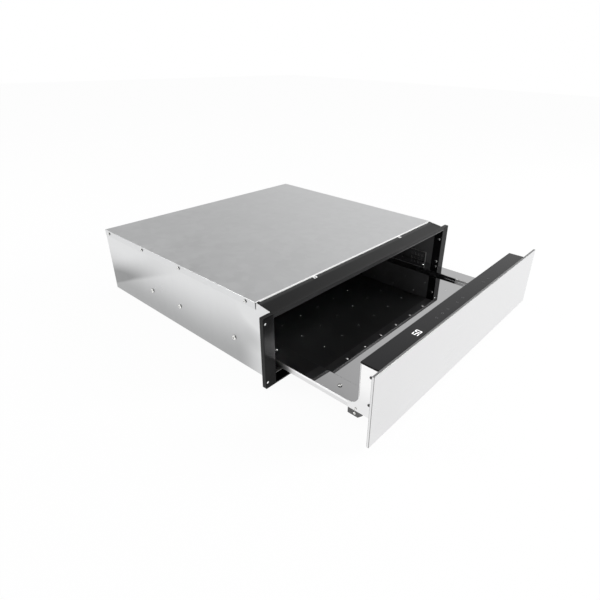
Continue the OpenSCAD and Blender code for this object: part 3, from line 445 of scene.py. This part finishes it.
def frame_enamel(name, tone, lip_painted_light_tone, edge_tone, lip, half):
    """Gloss enamel of the front frame, with painted light making the lip over the opening paler,
    and a painted highlight along the lip's lower edge on the right.
    """
    finish = Finish(name).set(Specular_IOR_Level=0.07)
    clouds = finish.noise(18.0, 4.0)
    along = finish.part("X")
    across = finish.add("ShaderNodeMath", {"operation": "ABSOLUTE"}, {0: along})
    inside = finish.between(across, half + 1 * MM, half - 1 * MM)
    # The frame over the opening is painted lighter: painted light.
    over = finish.axis("Z", lip - 1 * MM, lip) * inside
    edge = finish.axis("Z", lip + 2.0 * MM, lip + 1.4 * MM)
    # A painted highlight along the lip's lower edge, on the right half only.
    thin = over * edge * finish.between(along, 0, half / 2)
    enamelled = finish.mix(over, finish.tinted(tone, 0.15, clouds), lip_painted_light_tone)
    finish.set(Base_Color=finish.mix(thin, enamelled, edge_tone))
    return finish.sprayed(0.22, clouds)


def strip_enamel(name, tone, edge_tone, end):
    """Satin enamel of the strip, paler in a band along its rear edge."""
    finish = Finish(name).set(Specular_IOR_Level=0.20)
    clouds = finish.noise(18.0, 4.0)
    band = finish.axis("Y", end - 9 * MM, end - 5 * MM)
    finish.set(Base_Color=finish.mix(band, tone, edge_tone))
    return finish.sprayed(0.34, clouds)


def brushed(name, tone, roughness, grain, spread=0.03):
    """Metal with a fine brushed grain along one direction."""
    finish = Finish(name).set(Metallic=1.0)
    lines = finish.noise(600.0, 3.0, 0.6, grain)
    clouds = finish.noise(5.0, 2.0)
    finish.set(Base_Color=finish.tinted(tone, spread, lines * 0.5 + clouds * 0.5))
    finish.set(Roughness=roughness + (lines - 0.5) * 0.12 + (clouds - 0.5) * 0.05)
    return finish.relief(lines, 0.004 * MM, 0.4).block


def steel_painted_lighter_above(name, tone, lit_band_tone, low, high):
    """Brushed steel of the drawer's sides, with painted light making it brighter above a height,
    and a change in between.
    """
    finish = Finish(name).set(Metallic=1.0)
    lines = finish.noise(600.0, 3.0, 0.6, (1, 0.02, 1))
    band = finish.axis("Z", low, high)
    finish.set(Base_Color=finish.mix(band, finish.tinted(tone, 0.03, lines), lit_band_tone))
    finish.set(Roughness=0.30 + (lines - 0.5) * 0.12)
    return finish.relief(lines, 0.004 * MM, 0.4).block


def polished(name, tone, roughness, smudge):
    """Mirror polished steel with faint wiping marks and a very slight wave."""
    finish = Finish(name).set(Metallic=1.0)
    wipes = finish.noise(22.0, 5.0, 0.6, (1, 0.35, 1))
    finish.set(Base_Color=finish.tinted(tone, 0.03, wipes), Roughness=roughness + wipes * smudge)
    return finish.relief(finish.noise(9.0, 1.0), 0.03 * MM, 0.5).block


def moulded(name, tone, roughness, grit=500.0, depth=0.02 * MM):
    """Moulded plastic, rubber or ceramic with a fine grain."""
    finish = Finish(name)
    clouds = finish.noise(60.0, 3.0)
    finish.set(Base_Color=finish.tinted(tone, 0.08, clouds))
    finish.set(Roughness=roughness + (clouds - 0.5) * 0.1)
    return finish.relief(finish.noise(grit, 2.0), depth, 0.6).block


def fibrous(name, tone):
    """Mineral wool."""
    finish = Finish(name).set(Roughness=0.95)
    strands = finish.noise(250.0, 6.0, 0.7, (1, 0.3, 3))
    finish.set(Base_Color=finish.tinted(tone, 0.25, strands))
    return finish.relief(strands, 1.5 * MM).block


def black_glass(name, tone):
    """Black glass, printed behind, with faint wiping marks."""
    finish = Finish(name).set(Specular_IOR_Level=0.32)
    wipes = finish.noise(30.0, 4.0, 0.6, (0.3, 1, 1))
    finish.set(Base_Color=finish.tinted(tone, 0.2, wipes))
    return finish.set(Roughness=0.10 + wipes * 0.07).block


def lamp_print(name, tone):
    """Lit display segments, a little uneven in brightness."""
    finish = Finish(name).set(Roughness=0.4, Emission_Strength=0.9)
    cloud = finish.noise(300.0)
    glow = finish.mix(cloud, shade(tone, 0.93), tone)
    return finish.set(Base_Color=finish.tinted(tone, 0.03, cloud), Emission_Color=glow).block


def make_finishes(tone, sizes):
    """Every finish, by its own name."""
    along_x, along_y, even = (0.02, 1, 1), (1, 0.02, 1), (1, 1, 1)
    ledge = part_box("drawer_tray")[1].z
    frame_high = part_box("front_frame")[1]
    opening = frame_high.z - sizes.lip_h
    return {
        "zinc": zinc_sheet("galvanised_sheet", tone.zinc, 0.36),
        "zinc_side": sheet_with_painted_reflection("galvanised_side", tone.zinc_painted_light, tone.zinc_painted_shade,
                                  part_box("side_panel_left")),
        "zinc_edge": white_zinc("white_zinc", tone.lip_zinc_highlight),
        "frame": frame_enamel("gloss_black", tone.gloss_black, tone.lip_painted_light, tone.edge_grey_and_highlight,
                              opening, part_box("liner_right")[1].x),
        "frame_satin": strip_enamel("satin_black", tone.satin_black, tone.satin_grey, frame_high.y),
        "frame_edge": enamel("thin_edge", tone.edge_grey_and_highlight, 0.35, 0.2),
        "lining": enamel("black_lining", tone.lining, 0.30, 0.25, 0.3),
        "lining_painted_light": enamel("side_lining", tone.lining_painted_light, 0.30, 0.25, 0.3),
        "dark": enamel("dark_grey_enamel", tone.dark_grey, 0.42, 0.2, 0.4),
        "vent_edge": enamel("vent_edge", tone.vent_grey_and_highlight, 0.4, 0.1),
        "catch": enamel("catch_grey", tone.catch_grey, 0.4, 0.2, 0.4),
        "foot": brushed("worn_foot", tone.worn_foot, 0.35, along_y),
        "silver": brushed("pale_silver", tone.silver, 0.30, along_x, 0.02),
        "panel_edge_painted_shade": brushed("silver_edge", tone.silver_edge, 0.35, along_x),
        "stainless": brushed("bright_stainless", tone.stainless, 0.20, along_x, 0.02),
        "bare_edge": brushed("bare_edge", tone.bare_edge, 0.35, along_y),
        "side_steel": steel_painted_lighter_above("side_stainless", tone.side_steel, tone.bracket_painted_light,
                                   ledge + 10 * MM, ledge + 45 * MM),
        "rail": steel_painted_lighter_above("rail_stainless", tone.rail_steel, tone.rail_painted_highlight,
                             ledge - sizes.highlight_band_h - sizes.tray_sheet, ledge - sizes.highlight_band_h),
        "mirror": polished("mirror_stainless", tone.mirror, 0.012, 0.02),
        "slide": brushed("slide_zinc", tone.slide, 0.22, along_y),
        "slide_dark": brushed("oiled_slide", tone.dark_slide_and_hole_shade_tone, 0.30, along_y),
        "bearing": polished("bearing_steel", tone.bearing, 0.08, 0.05),
        "screw": polished("zinc_plate", tone.screw, 0.14, 0.10),
        "screw_painted_shade": enamel("black_oxide", tone.screw_painted_shade, 0.35, 0.2, 0.3),
        "screw_grey": brushed("grey_phosphate", tone.screw_grey, 0.35, even),
        "glass": black_glass("control_black_glass", tone.glass),
        "lit": lamp_print("lit_segments", tone.lit),
        "mark": moulded("touch_print", tone.mark, 0.5, 900.0, 0.005 * MM),
        "rubber": moulded("black_rubber", tone.rubber, 0.7),
        "black_plastic": moulded("black_nylon", tone.nylon, 0.5),
        "white_plastic": moulded("white_acetal", tone.acetal, 0.35, 300.0, 0.01 * MM),
        "ceramic": moulded("ivory_ceramic", tone.ceramic, 0.45, 700.0, 0.03 * MM),
        "board": moulded("green_lacquer", tone.lacquer, 0.35, 200.0, 0.05 * MM),
        "sheath": enamel("oxidised_sheath", tone.sheath, 0.6, 0.4),
        "iron": enamel("motor_iron", tone.iron, 0.6, 0.3),
        "aluminium": brushed("satin_aluminium", tone.aluminium, 0.35, even),
        "brass": brushed("satin_brass", tone.brass, 0.3, even),
        "wool": fibrous("mineral_wool", tone.wool),
    }


FINISHES = {}


# Modelling by hand, on copies of the frame's nodes
def only(piece):
    """Makes one object the selected and active one."""
    bpy.ops.object.select_all(action="DESELECT")
    piece.select_set(True)
    bpy.context.view_layer.objects.active = piece


@contextmanager
def edit_mode(piece, whole=True):
    """Edit mode on all of a piece, or on the edges selected before, with none selected after."""
    only(piece)
    bpy.ops.object.mode_set(mode="EDIT")
    bpy.ops.mesh.select_mode(type="EDGE")
    if whole:
        bpy.ops.mesh.select_all(action="SELECT")
    yield
    bpy.ops.mesh.select_all(action="DESELECT")
    bpy.ops.object.mode_set(mode="OBJECT")


def coat(node, finish):
    """Gives a frame node its finish."""
    data = NODES[node].data
    data.materials.clear()
    data.materials.append(FINISHES[finish])


def copy_of(node, name):
    """A free copy of a frame node's mesh, with its loose triangles merged."""
    only(NODES[node])
    bpy.ops.object.duplicate()
    piece = bpy.context.object
    piece.name = name
    piece.parent = None
    del piece["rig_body"]
    del piece["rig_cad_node"]
    piece.data.materials.clear()
    with edit_mode(piece):
        bpy.ops.mesh.remove_doubles(threshold=MERGE)
        bpy.ops.mesh.dissolve_limited(angle_limit=FLAT)
    return piece


def select_edges(piece, wanted):
    """Selects the edges that a test picks, in object mode, and says how many there are."""
    shape = bmesh.new()
    shape.from_mesh(piece.data)
    for part in [*shape.verts, *shape.edges, *shape.faces]:
        part.select = False
    picked = [edge for edge in shape.edges if len(edge.link_faces) == 2 and wanted(edge)]
    for edge in picked:
        edge.select = True
    shape.to_mesh(piece.data)
    shape.free()
    return len(picked)


def bevel_selected(piece, width, segments, material):
    """Bevels the selected edges by a width."""
    with edit_mode(piece, whole=False):
        bpy.ops.mesh.bevel(offset=width, segments=segments, clamp_overlap=False, material=material,
                           profile=0.5, affect="EDGES")


def is_fold(edge, outward, reach):
    """Whether an edge is a fold, seen from outside or inside, with a wide face on both sides."""
    if edge.is_convex != outward or edge.calc_face_angle(0) < SHARP:
        return False
    return all(2 * face.calc_area() / face.calc_perimeter() > reach for face in edge.link_faces)


def round_folds(piece, outer, inner, longer):
    """Rounds the folds of a sheet outside and inside, where they run longer than some radii."""
    reach = 2.5 * outer
    for outward, radius in ((True, outer), (False, inner)):
        if radius and select_edges(piece, lambda edge: edge.calc_length() > longer * radius
                                   and is_fold(edge, outward, reach)):
            bevel_selected(piece, radius, 3, -1)


def round_rims(piece, radius, material, shortest=0.05 * MM):
    """Rounds the sharp outer edges of a piece."""
    if select_edges(piece, lambda edge: edge.is_convex and edge.calc_length() > shortest
                    and edge.calc_face_angle(0) > SHARP):
        bevel_selected(piece, radius, 2, material)


def split_at(piece, point, way):
    """Splits the faces of a piece along a plane, to paint one side of it."""
    with edit_mode(piece):
        bpy.ops.mesh.bisect(plane_co=point, plane_no=way)


def clean_mesh(piece, merge):
    """Merges points closer than a distance, then splits the faces that are hollow in outline."""
    with edit_mode(piece):
        if merge:
            bpy.ops.mesh.remove_doubles(threshold=merge)
            bpy.ops.mesh.dissolve_degenerate(threshold=0.75 * merge)
        bpy.ops.mesh.vert_connect_concave()


def paint(piece, finish, wanted):
    """Gives the faces that a test picks their own finish."""
    faces = [face for face in piece.data.polygons if wanted(face.normal, face.center)]
    if not faces:
        raise RuntimeError(f"{piece.name} has no face for {finish}")
    piece.data.materials.append(FINISHES[finish])
    for face in faces:
        face.material_index = len(piece.data.materials) - 1
    return piece


def finish_piece(piece, node):
    """Smooths a piece and puts it on its node's body, in place of the node."""
    only(piece)
    bpy.ops.object.shade_smooth_by_angle(angle=SMOOTH)
    weighted = piece.modifiers.new("flat_faces", "WEIGHTED_NORMAL")
    weighted.weight = 100
    weighted.keep_sharp = True
    bpy.ops.object.modifier_apply(modifier=weighted.name)
    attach(piece, NODES[node]["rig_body"])
    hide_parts(node)
    return piece


def folds_of(sheet):
    """The outer and inner fold radius of a sheet, and how many radii a fold is at least."""
    inner = bpy.context.scene.drawer_sizes.fold_r
    return inner + sheet, inner, 6


def sheet_piece(node, name, folds, finish, edge=None, merge=0, split=None):
    """A sheet metal node with round folds and rims, standing in for the node."""
    piece = copy_of(node, name)
    low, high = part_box(node)
    for key in filter(None, (finish, edge)):
        piece.data.materials.append(FINISHES[key])
    if folds:
        round_folds(piece, *folds)
    round_rims(piece, bpy.context.scene.drawer_sizes.rim_r, len(piece.data.materials) - 1)
    if split:
        split_at(piece, *split)
    clean_mesh(piece, merge)
    for vert in piece.data.vertices:
        vert.co = [min(max(part, least), most) for part, least, most in zip(vert.co, low, high)]
    return finish_piece(piece, node)


def solid_piece(node, name, finish, radius):
    """A solid node with all its long edges rounded alike."""
    piece = copy_of(node, name)
    piece.data.materials.append(FINISHES[finish])
    round_rims(piece, radius, -1)
    return finish_piece(piece, node)


# Screws, modelled once a kind and copied to each place
def islands(shape):
    """The faces of each separate solid in a mesh, always in the same order."""
    seen = set()
    for first in shape.faces:
        island, queue = [], [first]
        while queue:
            face = queue.pop()
            if face not in seen:
                seen.add(face)
                island.append(face)
                queue += [other for edge in face.edges for other in edge.link_faces]
        if island:
            yield island


def screw_places(node):
    """Each screw of a node: where its head seats, the way the head faces, and the head's radius."""
    shape = bmesh.new()
    shape.from_mesh(NODES[node].data)
    bmesh.ops.remove_doubles(shape, verts=shape.verts, dist=MERGE)
    places = []
    for island in islands(shape):
        # The widest flat side of a screw is its seat, the underside of its head.
        sides = {}
        for face in island:
            sides.setdefault(tuple(round(part, 2) for part in face.normal), []).append(face)
        flat = max(sides.values(), key=lambda faces: sum(face.calc_area() for face in faces))
        down = flat[0].normal.copy()
        level = min(vert.co.dot(down) for face in flat for vert in face.verts) + 0.05 * MM
        rim = dict.fromkeys(vert for face in flat for vert in face.verts
                            if vert.co.dot(down) < level)
        seat = sum((vert.co for vert in rim), Vector()) / len(rim)
        places.append((seat, -down, max((vert.co - seat).length for vert in rim)))
    shape.free()
    return sorted(places, key=lambda spot: tuple(round(part, 4) for part in spot[0]))


def cut_slot(head, radius, height, turn):
    """Cuts one slot of a cross recess, smaller at its floor, with painted shade inside."""
    size = (radius * 1.15, radius * 0.24, height * 1.1)
    taper = (0.55, 0.8, 1)
    bpy.ops.object.select_all(action="DESELECT")
    bpy.ops.mesh.primitive_cube_add(size=1, location=(0, 0, height), rotation=(0, 0, turn))
    cutter = bpy.context.object
    cutter.scale = size
    bpy.ops.object.transform_apply(location=False, rotation=False, scale=True)
    select_edges(cutter, lambda edge: max(vert.co.z for vert in edge.verts) < 0)
    with edit_mode(cutter, whole=False):
        bpy.ops.transform.resize(value=taper, center_override=(0, 0, 0))
    cutter.data.materials.append(FINISHES["screw_painted_shade"])
    cut = head.modifiers.new("recess", "BOOLEAN")
    cut.object = cutter
    cut.operation = "DIFFERENCE"
    cut.material_mode = "TRANSFER"
    only(head)
    bpy.ops.object.modifier_apply(modifier=cut.name)
    bpy.data.objects.remove(cutter)


def pan_head(radius, height, sides, finish, rim):
    """A pan head on zero: a round shoulder, with painted shade where it looks up less than rim, and
    a recess.
    """
    shoulder = height * 0.75
    bpy.ops.object.select_all(action="DESELECT")
    bpy.ops.mesh.primitive_cylinder_add(vertices=sides, radius=radius, depth=height,
                                        location=(0, 0, height / 2))
    head = bpy.context.object
    bpy.ops.object.transform_apply(location=True, rotation=False, scale=False)
    head.data.materials.append(FINISHES[finish])
    select_edges(head, lambda edge: min(vert.co.z for vert in edge.verts) > height / 2)
    bevel_selected(head, shoulder, 4, 0)
    paint(head, "screw_painted_shade", lambda way, spot: way.z < rim)
    for turn in (0, math.pi / 2):
        cut_slot(head, radius, height, turn)
    return head


def facing(point, direction, turn):
    """The matrix that stands a piece at a point, turned, with its top to a direction."""
    return (Matrix.Translation(point) @ direction.to_track_quat("Z", "Y").to_matrix().to_4x4()
            @ Matrix.Rotation(turn, 4, "Z"))


def join_copies(master, matrices, name):
    """Copies a modelled piece to each place and joins the copies into one."""
    copies = []
    for matrix in matrices:
        only(master)
        bpy.ops.object.duplicate()
        copy = bpy.context.object
        copy.matrix_world = matrix
        bpy.ops.object.transform_apply(location=True, rotation=True, scale=True)
        copies.append(copy)
    bpy.data.objects.remove(master)
    only(copies[0])
    for copy in copies:
        copy.select_set(True)
    bpy.ops.object.join()
    piece = bpy.context.object
    piece.name = name
    return piece


def screw_set(kind, finish="screw", rim=0.1, wide=1.0):
    """Modelled heads in place of the screws of a kind, each turned a little differently."""
    node = f"{kind}_screws"
    sizes = bpy.context.scene.drawer_sizes
    places = screw_places(node)
    radius = places[0][2] * wide
    master = pan_head(radius, getattr(sizes, f"{kind}_head"), sizes.head_sides, finish, rim)
    matrices = [facing(seat, way, 0.7 * number) for number, (seat, way, _) in enumerate(places)]
    return finish_piece(join_copies(master, matrices, f"{kind}_screw_heads"), node)


# Steps that build the drawer and its studio
class DRAWER_OT_studio(bpy.types.Operator):
    """Sets up the floor, the sky, the lamps and the camera"""
    bl_idname = "drawer.studio"
    bl_label = "Studio"

    def execute(self, context):
        studio = context.scene.drawer_studio
        self.floor(studio)
        self.sky(context, studio)
        for name in ("left", "front"):
            self.lamp(studio, name)
        self.camera(context, studio)
        context.scene.view_settings.view_transform = "Standard"
        return {"FINISHED"}

    def floor(self, studio):
        """A white floor that keeps a faint shadow and shows white to the camera and to metal."""
        bpy.ops.object.select_all(action="DESELECT")
        bpy.ops.mesh.primitive_plane_add(size=studio.floor_size, location=(0, 0, CAD_LOW.z))
        floor = bpy.context.object
        floor.name = "studio_floor"
        finish = Finish("floor_white").set(Base_Color=studio.floor_white, Roughness=0.9,
                                           Specular_IOR_Level=0.1)
        path = finish.tree.nodes.new("ShaderNodeLightPath")
        seen, shiny, through = (Wire(finish, path.outputs[f"Is {ray} Ray"])
                                for ray in ("Camera", "Glossy", "Transmission"))
        white = studio.backdrop
        glow = finish.add("ShaderNodeEmission", {}, {"Color": (1, 1, 1), "Strength": 1.0})
        shown = finish.add("ShaderNodeMixShader", {}, {
            "Fac": seen * white + shiny * white + through * white,
            1: Wire(finish, finish.shader.outputs[0]), 2: glow})
        finish.fill(finish.tree.nodes["Material Output"].inputs["Surface"], shown)
        floor.data.materials.append(finish.block)

    def sky(self, context, studio):
        """A soft dome, white at the horizon, greyer half way up, lightest to the right."""
        sky = Finish("studio_sky", world=True)
        context.scene.world = sky.block
        way = sky.add("ShaderNodeTexCoord", {}, {}, "Generated")
        height = sky.part("Z", way)
        side = sky.between(sky.part("X", way), 0.45, 0.85)
        low, left, right, high = ((getattr(studio, f"sky_{part}"),) * 3
                                  for part in ("low", "left", "right", "high"))
        black, white = (0, 0, 0), (1, 1, 1)
        # Heights over which the dome darkens above the horizon, and lightens again overhead.
        horizon, overhead = (0.10, 0.30), (0.70, 0.95)
        rise, crown = (sky.add("ShaderNodeValToRGB", {"stops": [
            (start, black), (end, white), (1.0, white)]}, {"Fac": height})
            for start, end in (horizon, overhead))
        middle = sky.mix(side, left, right)
        shown = sky.tree.nodes["Background"]
        sky.fill(shown.inputs["Color"], sky.mix(crown, sky.mix(rise, low, middle), high))
        sky.fill(shown.inputs["Strength"], 1.0)

    def lamp(self, studio, name):
        """A large soft lamp, aimed at the drawer."""
        spot, aim = (Vector(getattr(studio, f"{name}_{end}")) for end in ("place", "aim"))
        bpy.ops.object.light_add(type="AREA", location=spot)
        lamp = bpy.context.object
        lamp.name = f"lamp_{name}"
        lamp.data.size = getattr(studio, f"{name}_size")
        lamp.data.energy = getattr(studio, f"{name}_power")
        lamp.rotation_euler = (aim - spot).to_track_quat("-Z", "Y").to_euler()

    def camera(self, context, studio):
        """The camera, aimed by its azimuth, elevation and roll."""
        bpy.ops.object.camera_add(location=studio.camera_place)
        camera = bpy.context.object
        level = math.cos(studio.camera_elevation)
        aim = Vector((math.sin(studio.camera_azimuth) * level,
                      math.cos(studio.camera_azimuth) * level, math.sin(studio.camera_elevation)))
        turn = aim.to_track_quat("-Z", "Y").to_matrix()
        camera.rotation_euler = (turn @ Matrix.Rotation(studio.camera_roll, 3, "Z")).to_euler()
        camera.data.sensor_width = 36.0
        camera.data.lens = studio.lens
        camera.data.shift_x = studio.shift_x
        camera.data.shift_y = studio.shift_y
        camera.data.clip_start = 0.01
        context.scene.camera = camera


class DRAWER_OT_cabinet(bpy.types.Operator):
    """Finishes the galvanised cabinet: cover, sides, rear and base"""
    bl_idname = "drawer.cabinet"
    bl_label = "Cabinet"

    def execute(self, context):
        sheet = context.scene.drawer_sizes.sheet
        folds = folds_of(sheet)
        # The cover's lip is the front of its flat top, two sheets deep.
        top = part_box("top_cover")[1].z - 0.1 * MM
        front = min(vert.co.y for vert in NODES["top_cover"].data.vertices if vert.co.z > top)
        lip = front + 2 * sheet
        # The cover's rims, and the faces of its lip that look up or forward, get a painted
        # highlight.
        cover = sheet_piece("top_cover", "cover_shell", folds, "zinc", "zinc_edge",
                            split=((0, lip, 0), (0, 1, 0)))
        paint(cover, "zinc_edge", lambda way, spot: spot.y < lip and max(way.z, -way.y) > 0.2)
        for side in SIDES:
            # The sides carry a painted reflection: painted light above and in front, painted shade
            # low down and behind.
            sheet_piece(f"side_panel_{side}", f"side_shell_{side}", None, "zinc_side", merge=STEP)
        sheet_piece("rear_panel", "rear_shell", folds, "zinc")
        sheet_piece("base_pan", "base_shell", folds, "zinc")
        coat("top_insulation", "wool")
        coat("floor_insulation", "wool")
        return {"FINISHED"}


class DRAWER_OT_front_frame(bpy.types.Operator):
    """Finishes the black front frame"""
    bl_idname = "drawer.front_frame"
    bl_label = "Front frame"

    def execute(self, context):
        sizes = context.scene.drawer_sizes
        # Only the long folds of the frame are round, and only outside.
        # The frame's rims get the paler edge grey: partly thin enamel, partly painted highlight.
        surround = sheet_piece("front_frame", "frame_surround", (sizes.frame_fold, 0, 60), "frame",
                               "frame_edge", merge=STEP)
        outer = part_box("front_frame")[1].x - sizes.flange_w
        paint(surround, "frame_satin", lambda way, spot: way.z > LOOKS
              or abs(way.x) > LOOKS and abs(spot.x) > outer)
        # The frame's underside is painted the lighter lining grey: painted light where no light
        # reaches.
        paint(surround, "lining_painted_light", lambda way, spot: way.z < -LOOKS)
        # The fold between the front and the sloping strip gets a painted highlight.
        paint(surround, "frame_edge", lambda way, spot: way.y < -0.25 and way.z > 0.1)
        return {"FINISHED"}


class DRAWER_OT_cavity(bpy.types.Operator):
    """Finishes the black lining and the vented slide brackets"""
    bl_idname = "drawer.cavity"
    bl_label = "Cavity"

    def execute(self, context):
        for part in ("top", "rear", "floor"):
            coat(f"liner_{part}", "lining")
        for side in SIDES:
            # The cavity's sides take the lighter copy of the lining: painted light.
            coat(f"liner_{side}", "lining_painted_light")
            # The plate's rims and the walls of its vents are paler: bare edges, brightened as a
            # painted highlight.
            plate = sheet_piece(f"slide_bracket_{side}", f"vented_bracket_{side}", None, "dark",
                                "vent_edge")
            paint(plate, "vent_edge", lambda way, spot: abs(way.x) < LOOKS)
        return {"FINISHED"}


class DRAWER_OT_slides(bpy.types.Operator):
    """Finishes the telescopic slides and their balls"""
    bl_idname = "drawer.slides"
    bl_label = "Slides"

    def execute(self, context):
        for side in SIDES:
            for part, finish in (("outer", "slide"), ("middle", "slide_dark"), ("inner", "slide")):
                sheet_piece(f"slide_{part}_{side}", f"{part}_member_{side}", None, finish)
            coat(f"ball_cage_{side}", "bearing")
        return {"FINISHED"}


class DRAWER_OT_screws(bpy.types.Operator):
    """Models the screw heads"""
    bl_idname = "drawer.screws"
    bl_label = "Screws"

    def execute(self, context):
        # The screw heads carry painted shade in their recesses and low on their shoulders.
        screw_set("cover", rim=0.5)
        screw_set("rail")
        screw_set("tab")
        screw_set("frame")
        screw_set("bracket", "screw_grey")
        screw_set("ledge", rim=0.5, wide=1.5)
        screw_set("catch")
        return {"FINISHED"}


class DRAWER_OT_works(bpy.types.Operator):
    """Finishes the heater, the fan, the latches and the rear fittings"""
    bl_idname = "drawer.works"
    bl_label = "Works"

    def execute(self, context):
        for node, finish in (
                ("heating_element", "sheath"), ("heater_clips", "screw"), ("fan_plate", "zinc"),
                ("fan_standoffs", "screw"), ("fan_motor", "iron"), ("fan_impeller", "aluminium"),
                ("motor_shaft", "bearing"), ("impeller_nut", "brass"),
                ("safety_thermostat", "ceramic"), ("terminal_block", "ceramic"),
                ("cable_gland", "black_plastic")):
            coat(node, finish)
        for side in SIDES:
            solid_piece(f"latch_body_{side}", f"latch_housing_{side}", "black_plastic",
                        context.scene.drawer_sizes.latch_r)
            coat(f"latch_plunger_{side}", "white_plastic")
        return {"FINISHED"}


class DRAWER_OT_control(bpy.types.Operator):
    """Finishes the control housing, its glass and what the glass shows"""
    bl_idname = "drawer.control"
    bl_label = "Control"

    def execute(self, context):
        sizes = context.scene.drawer_sizes
        sheet_piece("control_box", "control_housing", folds_of(sizes.tray_sheet), "stainless")
        glass = solid_piece("control_glass", "glass_top", "glass", sizes.glass_r)
        paint(glass, "frame", lambda way, spot: abs(way.z) < LOOKS)
        coat("display_digits", "lit")
        coat("touch_icons", "mark")
        coat("control_board", "board")
        return {"FINISHED"}


class DRAWER_OT_front_panel(bpy.types.Operator):
    """Finishes the pale front panel and its bumpers"""
    bl_idname = "drawer.front_panel"
    bl_label = "Front panel"

    def execute(self, context):
        plate = solid_piece("front_panel", "front_plate", "silver",
                            context.scene.drawer_sizes.panel_r)
        # The panel's top and rounded edges are painted darker: painted shade.
        paint(plate, "panel_edge_painted_shade", lambda way, spot: way.z > LOOKS or max(map(abs, way)) < SQUARE)
        coat("panel_bumpers", "rubber")
        return {"FINISHED"}


class DRAWER_OT_tray(bpy.types.Operator):
    """Finishes the polished tray, its brackets, boot and catches"""
    bl_idname = "drawer.tray"
    bl_label = "Tray"

    def execute(self, context):
        sizes = context.scene.drawer_sizes
        folds = folds_of(sizes.tray_sheet)
        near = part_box("drawer_tray")[0].y + sizes.highlight_run
        tray = sheet_piece("drawer_tray", "tray_shell", folds, "mirror",
                           split=((0, near, 0), (0, 1, 0)))
        # The inner walls near the front get a painted highlight.
        paint(tray, "bare_edge", lambda way, spot: way.x * spot.x < 0 and abs(way.x) > LOOKS
              and spot.y < near)
        # The outer walls take the rail steel, with a painted highlight in a band along their top.
        paint(tray, "rail", lambda way, spot: way.x * spot.x > 0 and abs(way.x) > LOOKS)
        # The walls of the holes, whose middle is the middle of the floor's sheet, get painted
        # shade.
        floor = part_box("tray_back_rail")[0].z - sizes.tray_sheet / 2
        paint(tray, "slide_dark", lambda way, spot: abs(way.z) < 0.8
              and abs(spot.z - floor) < sizes.tray_sheet / 3)
        sheet_piece("tray_back_rail", "back_rail", folds, "stainless")
        for side in SIDES:
            # The end brackets are painted lighter above a height: painted light.
            sheet_piece(f"end_bracket_{side}", f"side_bracket_{side}", None, "side_steel")
            catch = solid_piece(f"catch_{side}", f"catch_hook_{side}", "catch", sizes.catch_r)
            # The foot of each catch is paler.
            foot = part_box(f"catch_{side}")[0].z + sizes.foot_h
            paint(catch, "foot", lambda way, spot: spot.z < foot)
        solid_piece("loom_boot", "wire_boot", "rubber", sizes.boot_r)
        return {"FINISHED"}


class DRAWER_PT_finish(bpy.types.Panel):
    """Lists the steps that finish the drawer"""
    bl_idname = "DRAWER_PT_finish"
    bl_label = "Warming Drawer"
    bl_space_type = "VIEW_3D"
    bl_region_type = "UI"
    bl_category = "Warming Drawer"

    def draw(self, context):
        for step in STEPS:
            self.layout.operator(step.bl_idname)


# Registration, and the order of the steps
GROUPS = {
    "drawer_finishes": DrawerFinishes,
    "drawer_sizes": DrawerSizes,
    "drawer_studio": DrawerStudio,
}
STEPS = (DRAWER_OT_studio, DRAWER_OT_cabinet, DRAWER_OT_front_frame, DRAWER_OT_cavity,
         DRAWER_OT_slides, DRAWER_OT_screws, DRAWER_OT_works, DRAWER_OT_control,
         DRAWER_OT_front_panel, DRAWER_OT_tray)


def register():
    """Registers the property groups, the steps and the panel."""
    for item in (*GROUPS.values(), *STEPS, DRAWER_PT_finish):
        bpy.utils.register_class(item)
    for name, group in GROUPS.items():
        setattr(bpy.types.Scene, name, PointerProperty(type=group))


def unregister():
    """Takes everything out again."""
    for name in GROUPS:
        delattr(bpy.types.Scene, name)
    for item in (DRAWER_PT_finish, *reversed(STEPS), *GROUPS.values()):
        bpy.utils.unregister_class(item)


def main():
    """Builds the whole piece step by step."""
    register()
    scene = bpy.context.scene
    FINISHES.update(make_finishes(scene.drawer_finishes, scene.drawer_sizes))
    for step in STEPS:
        group, name = step.bl_idname.split(".")
        getattr(getattr(bpy.ops, group), name)()


if __name__ == "__main__":
    main()
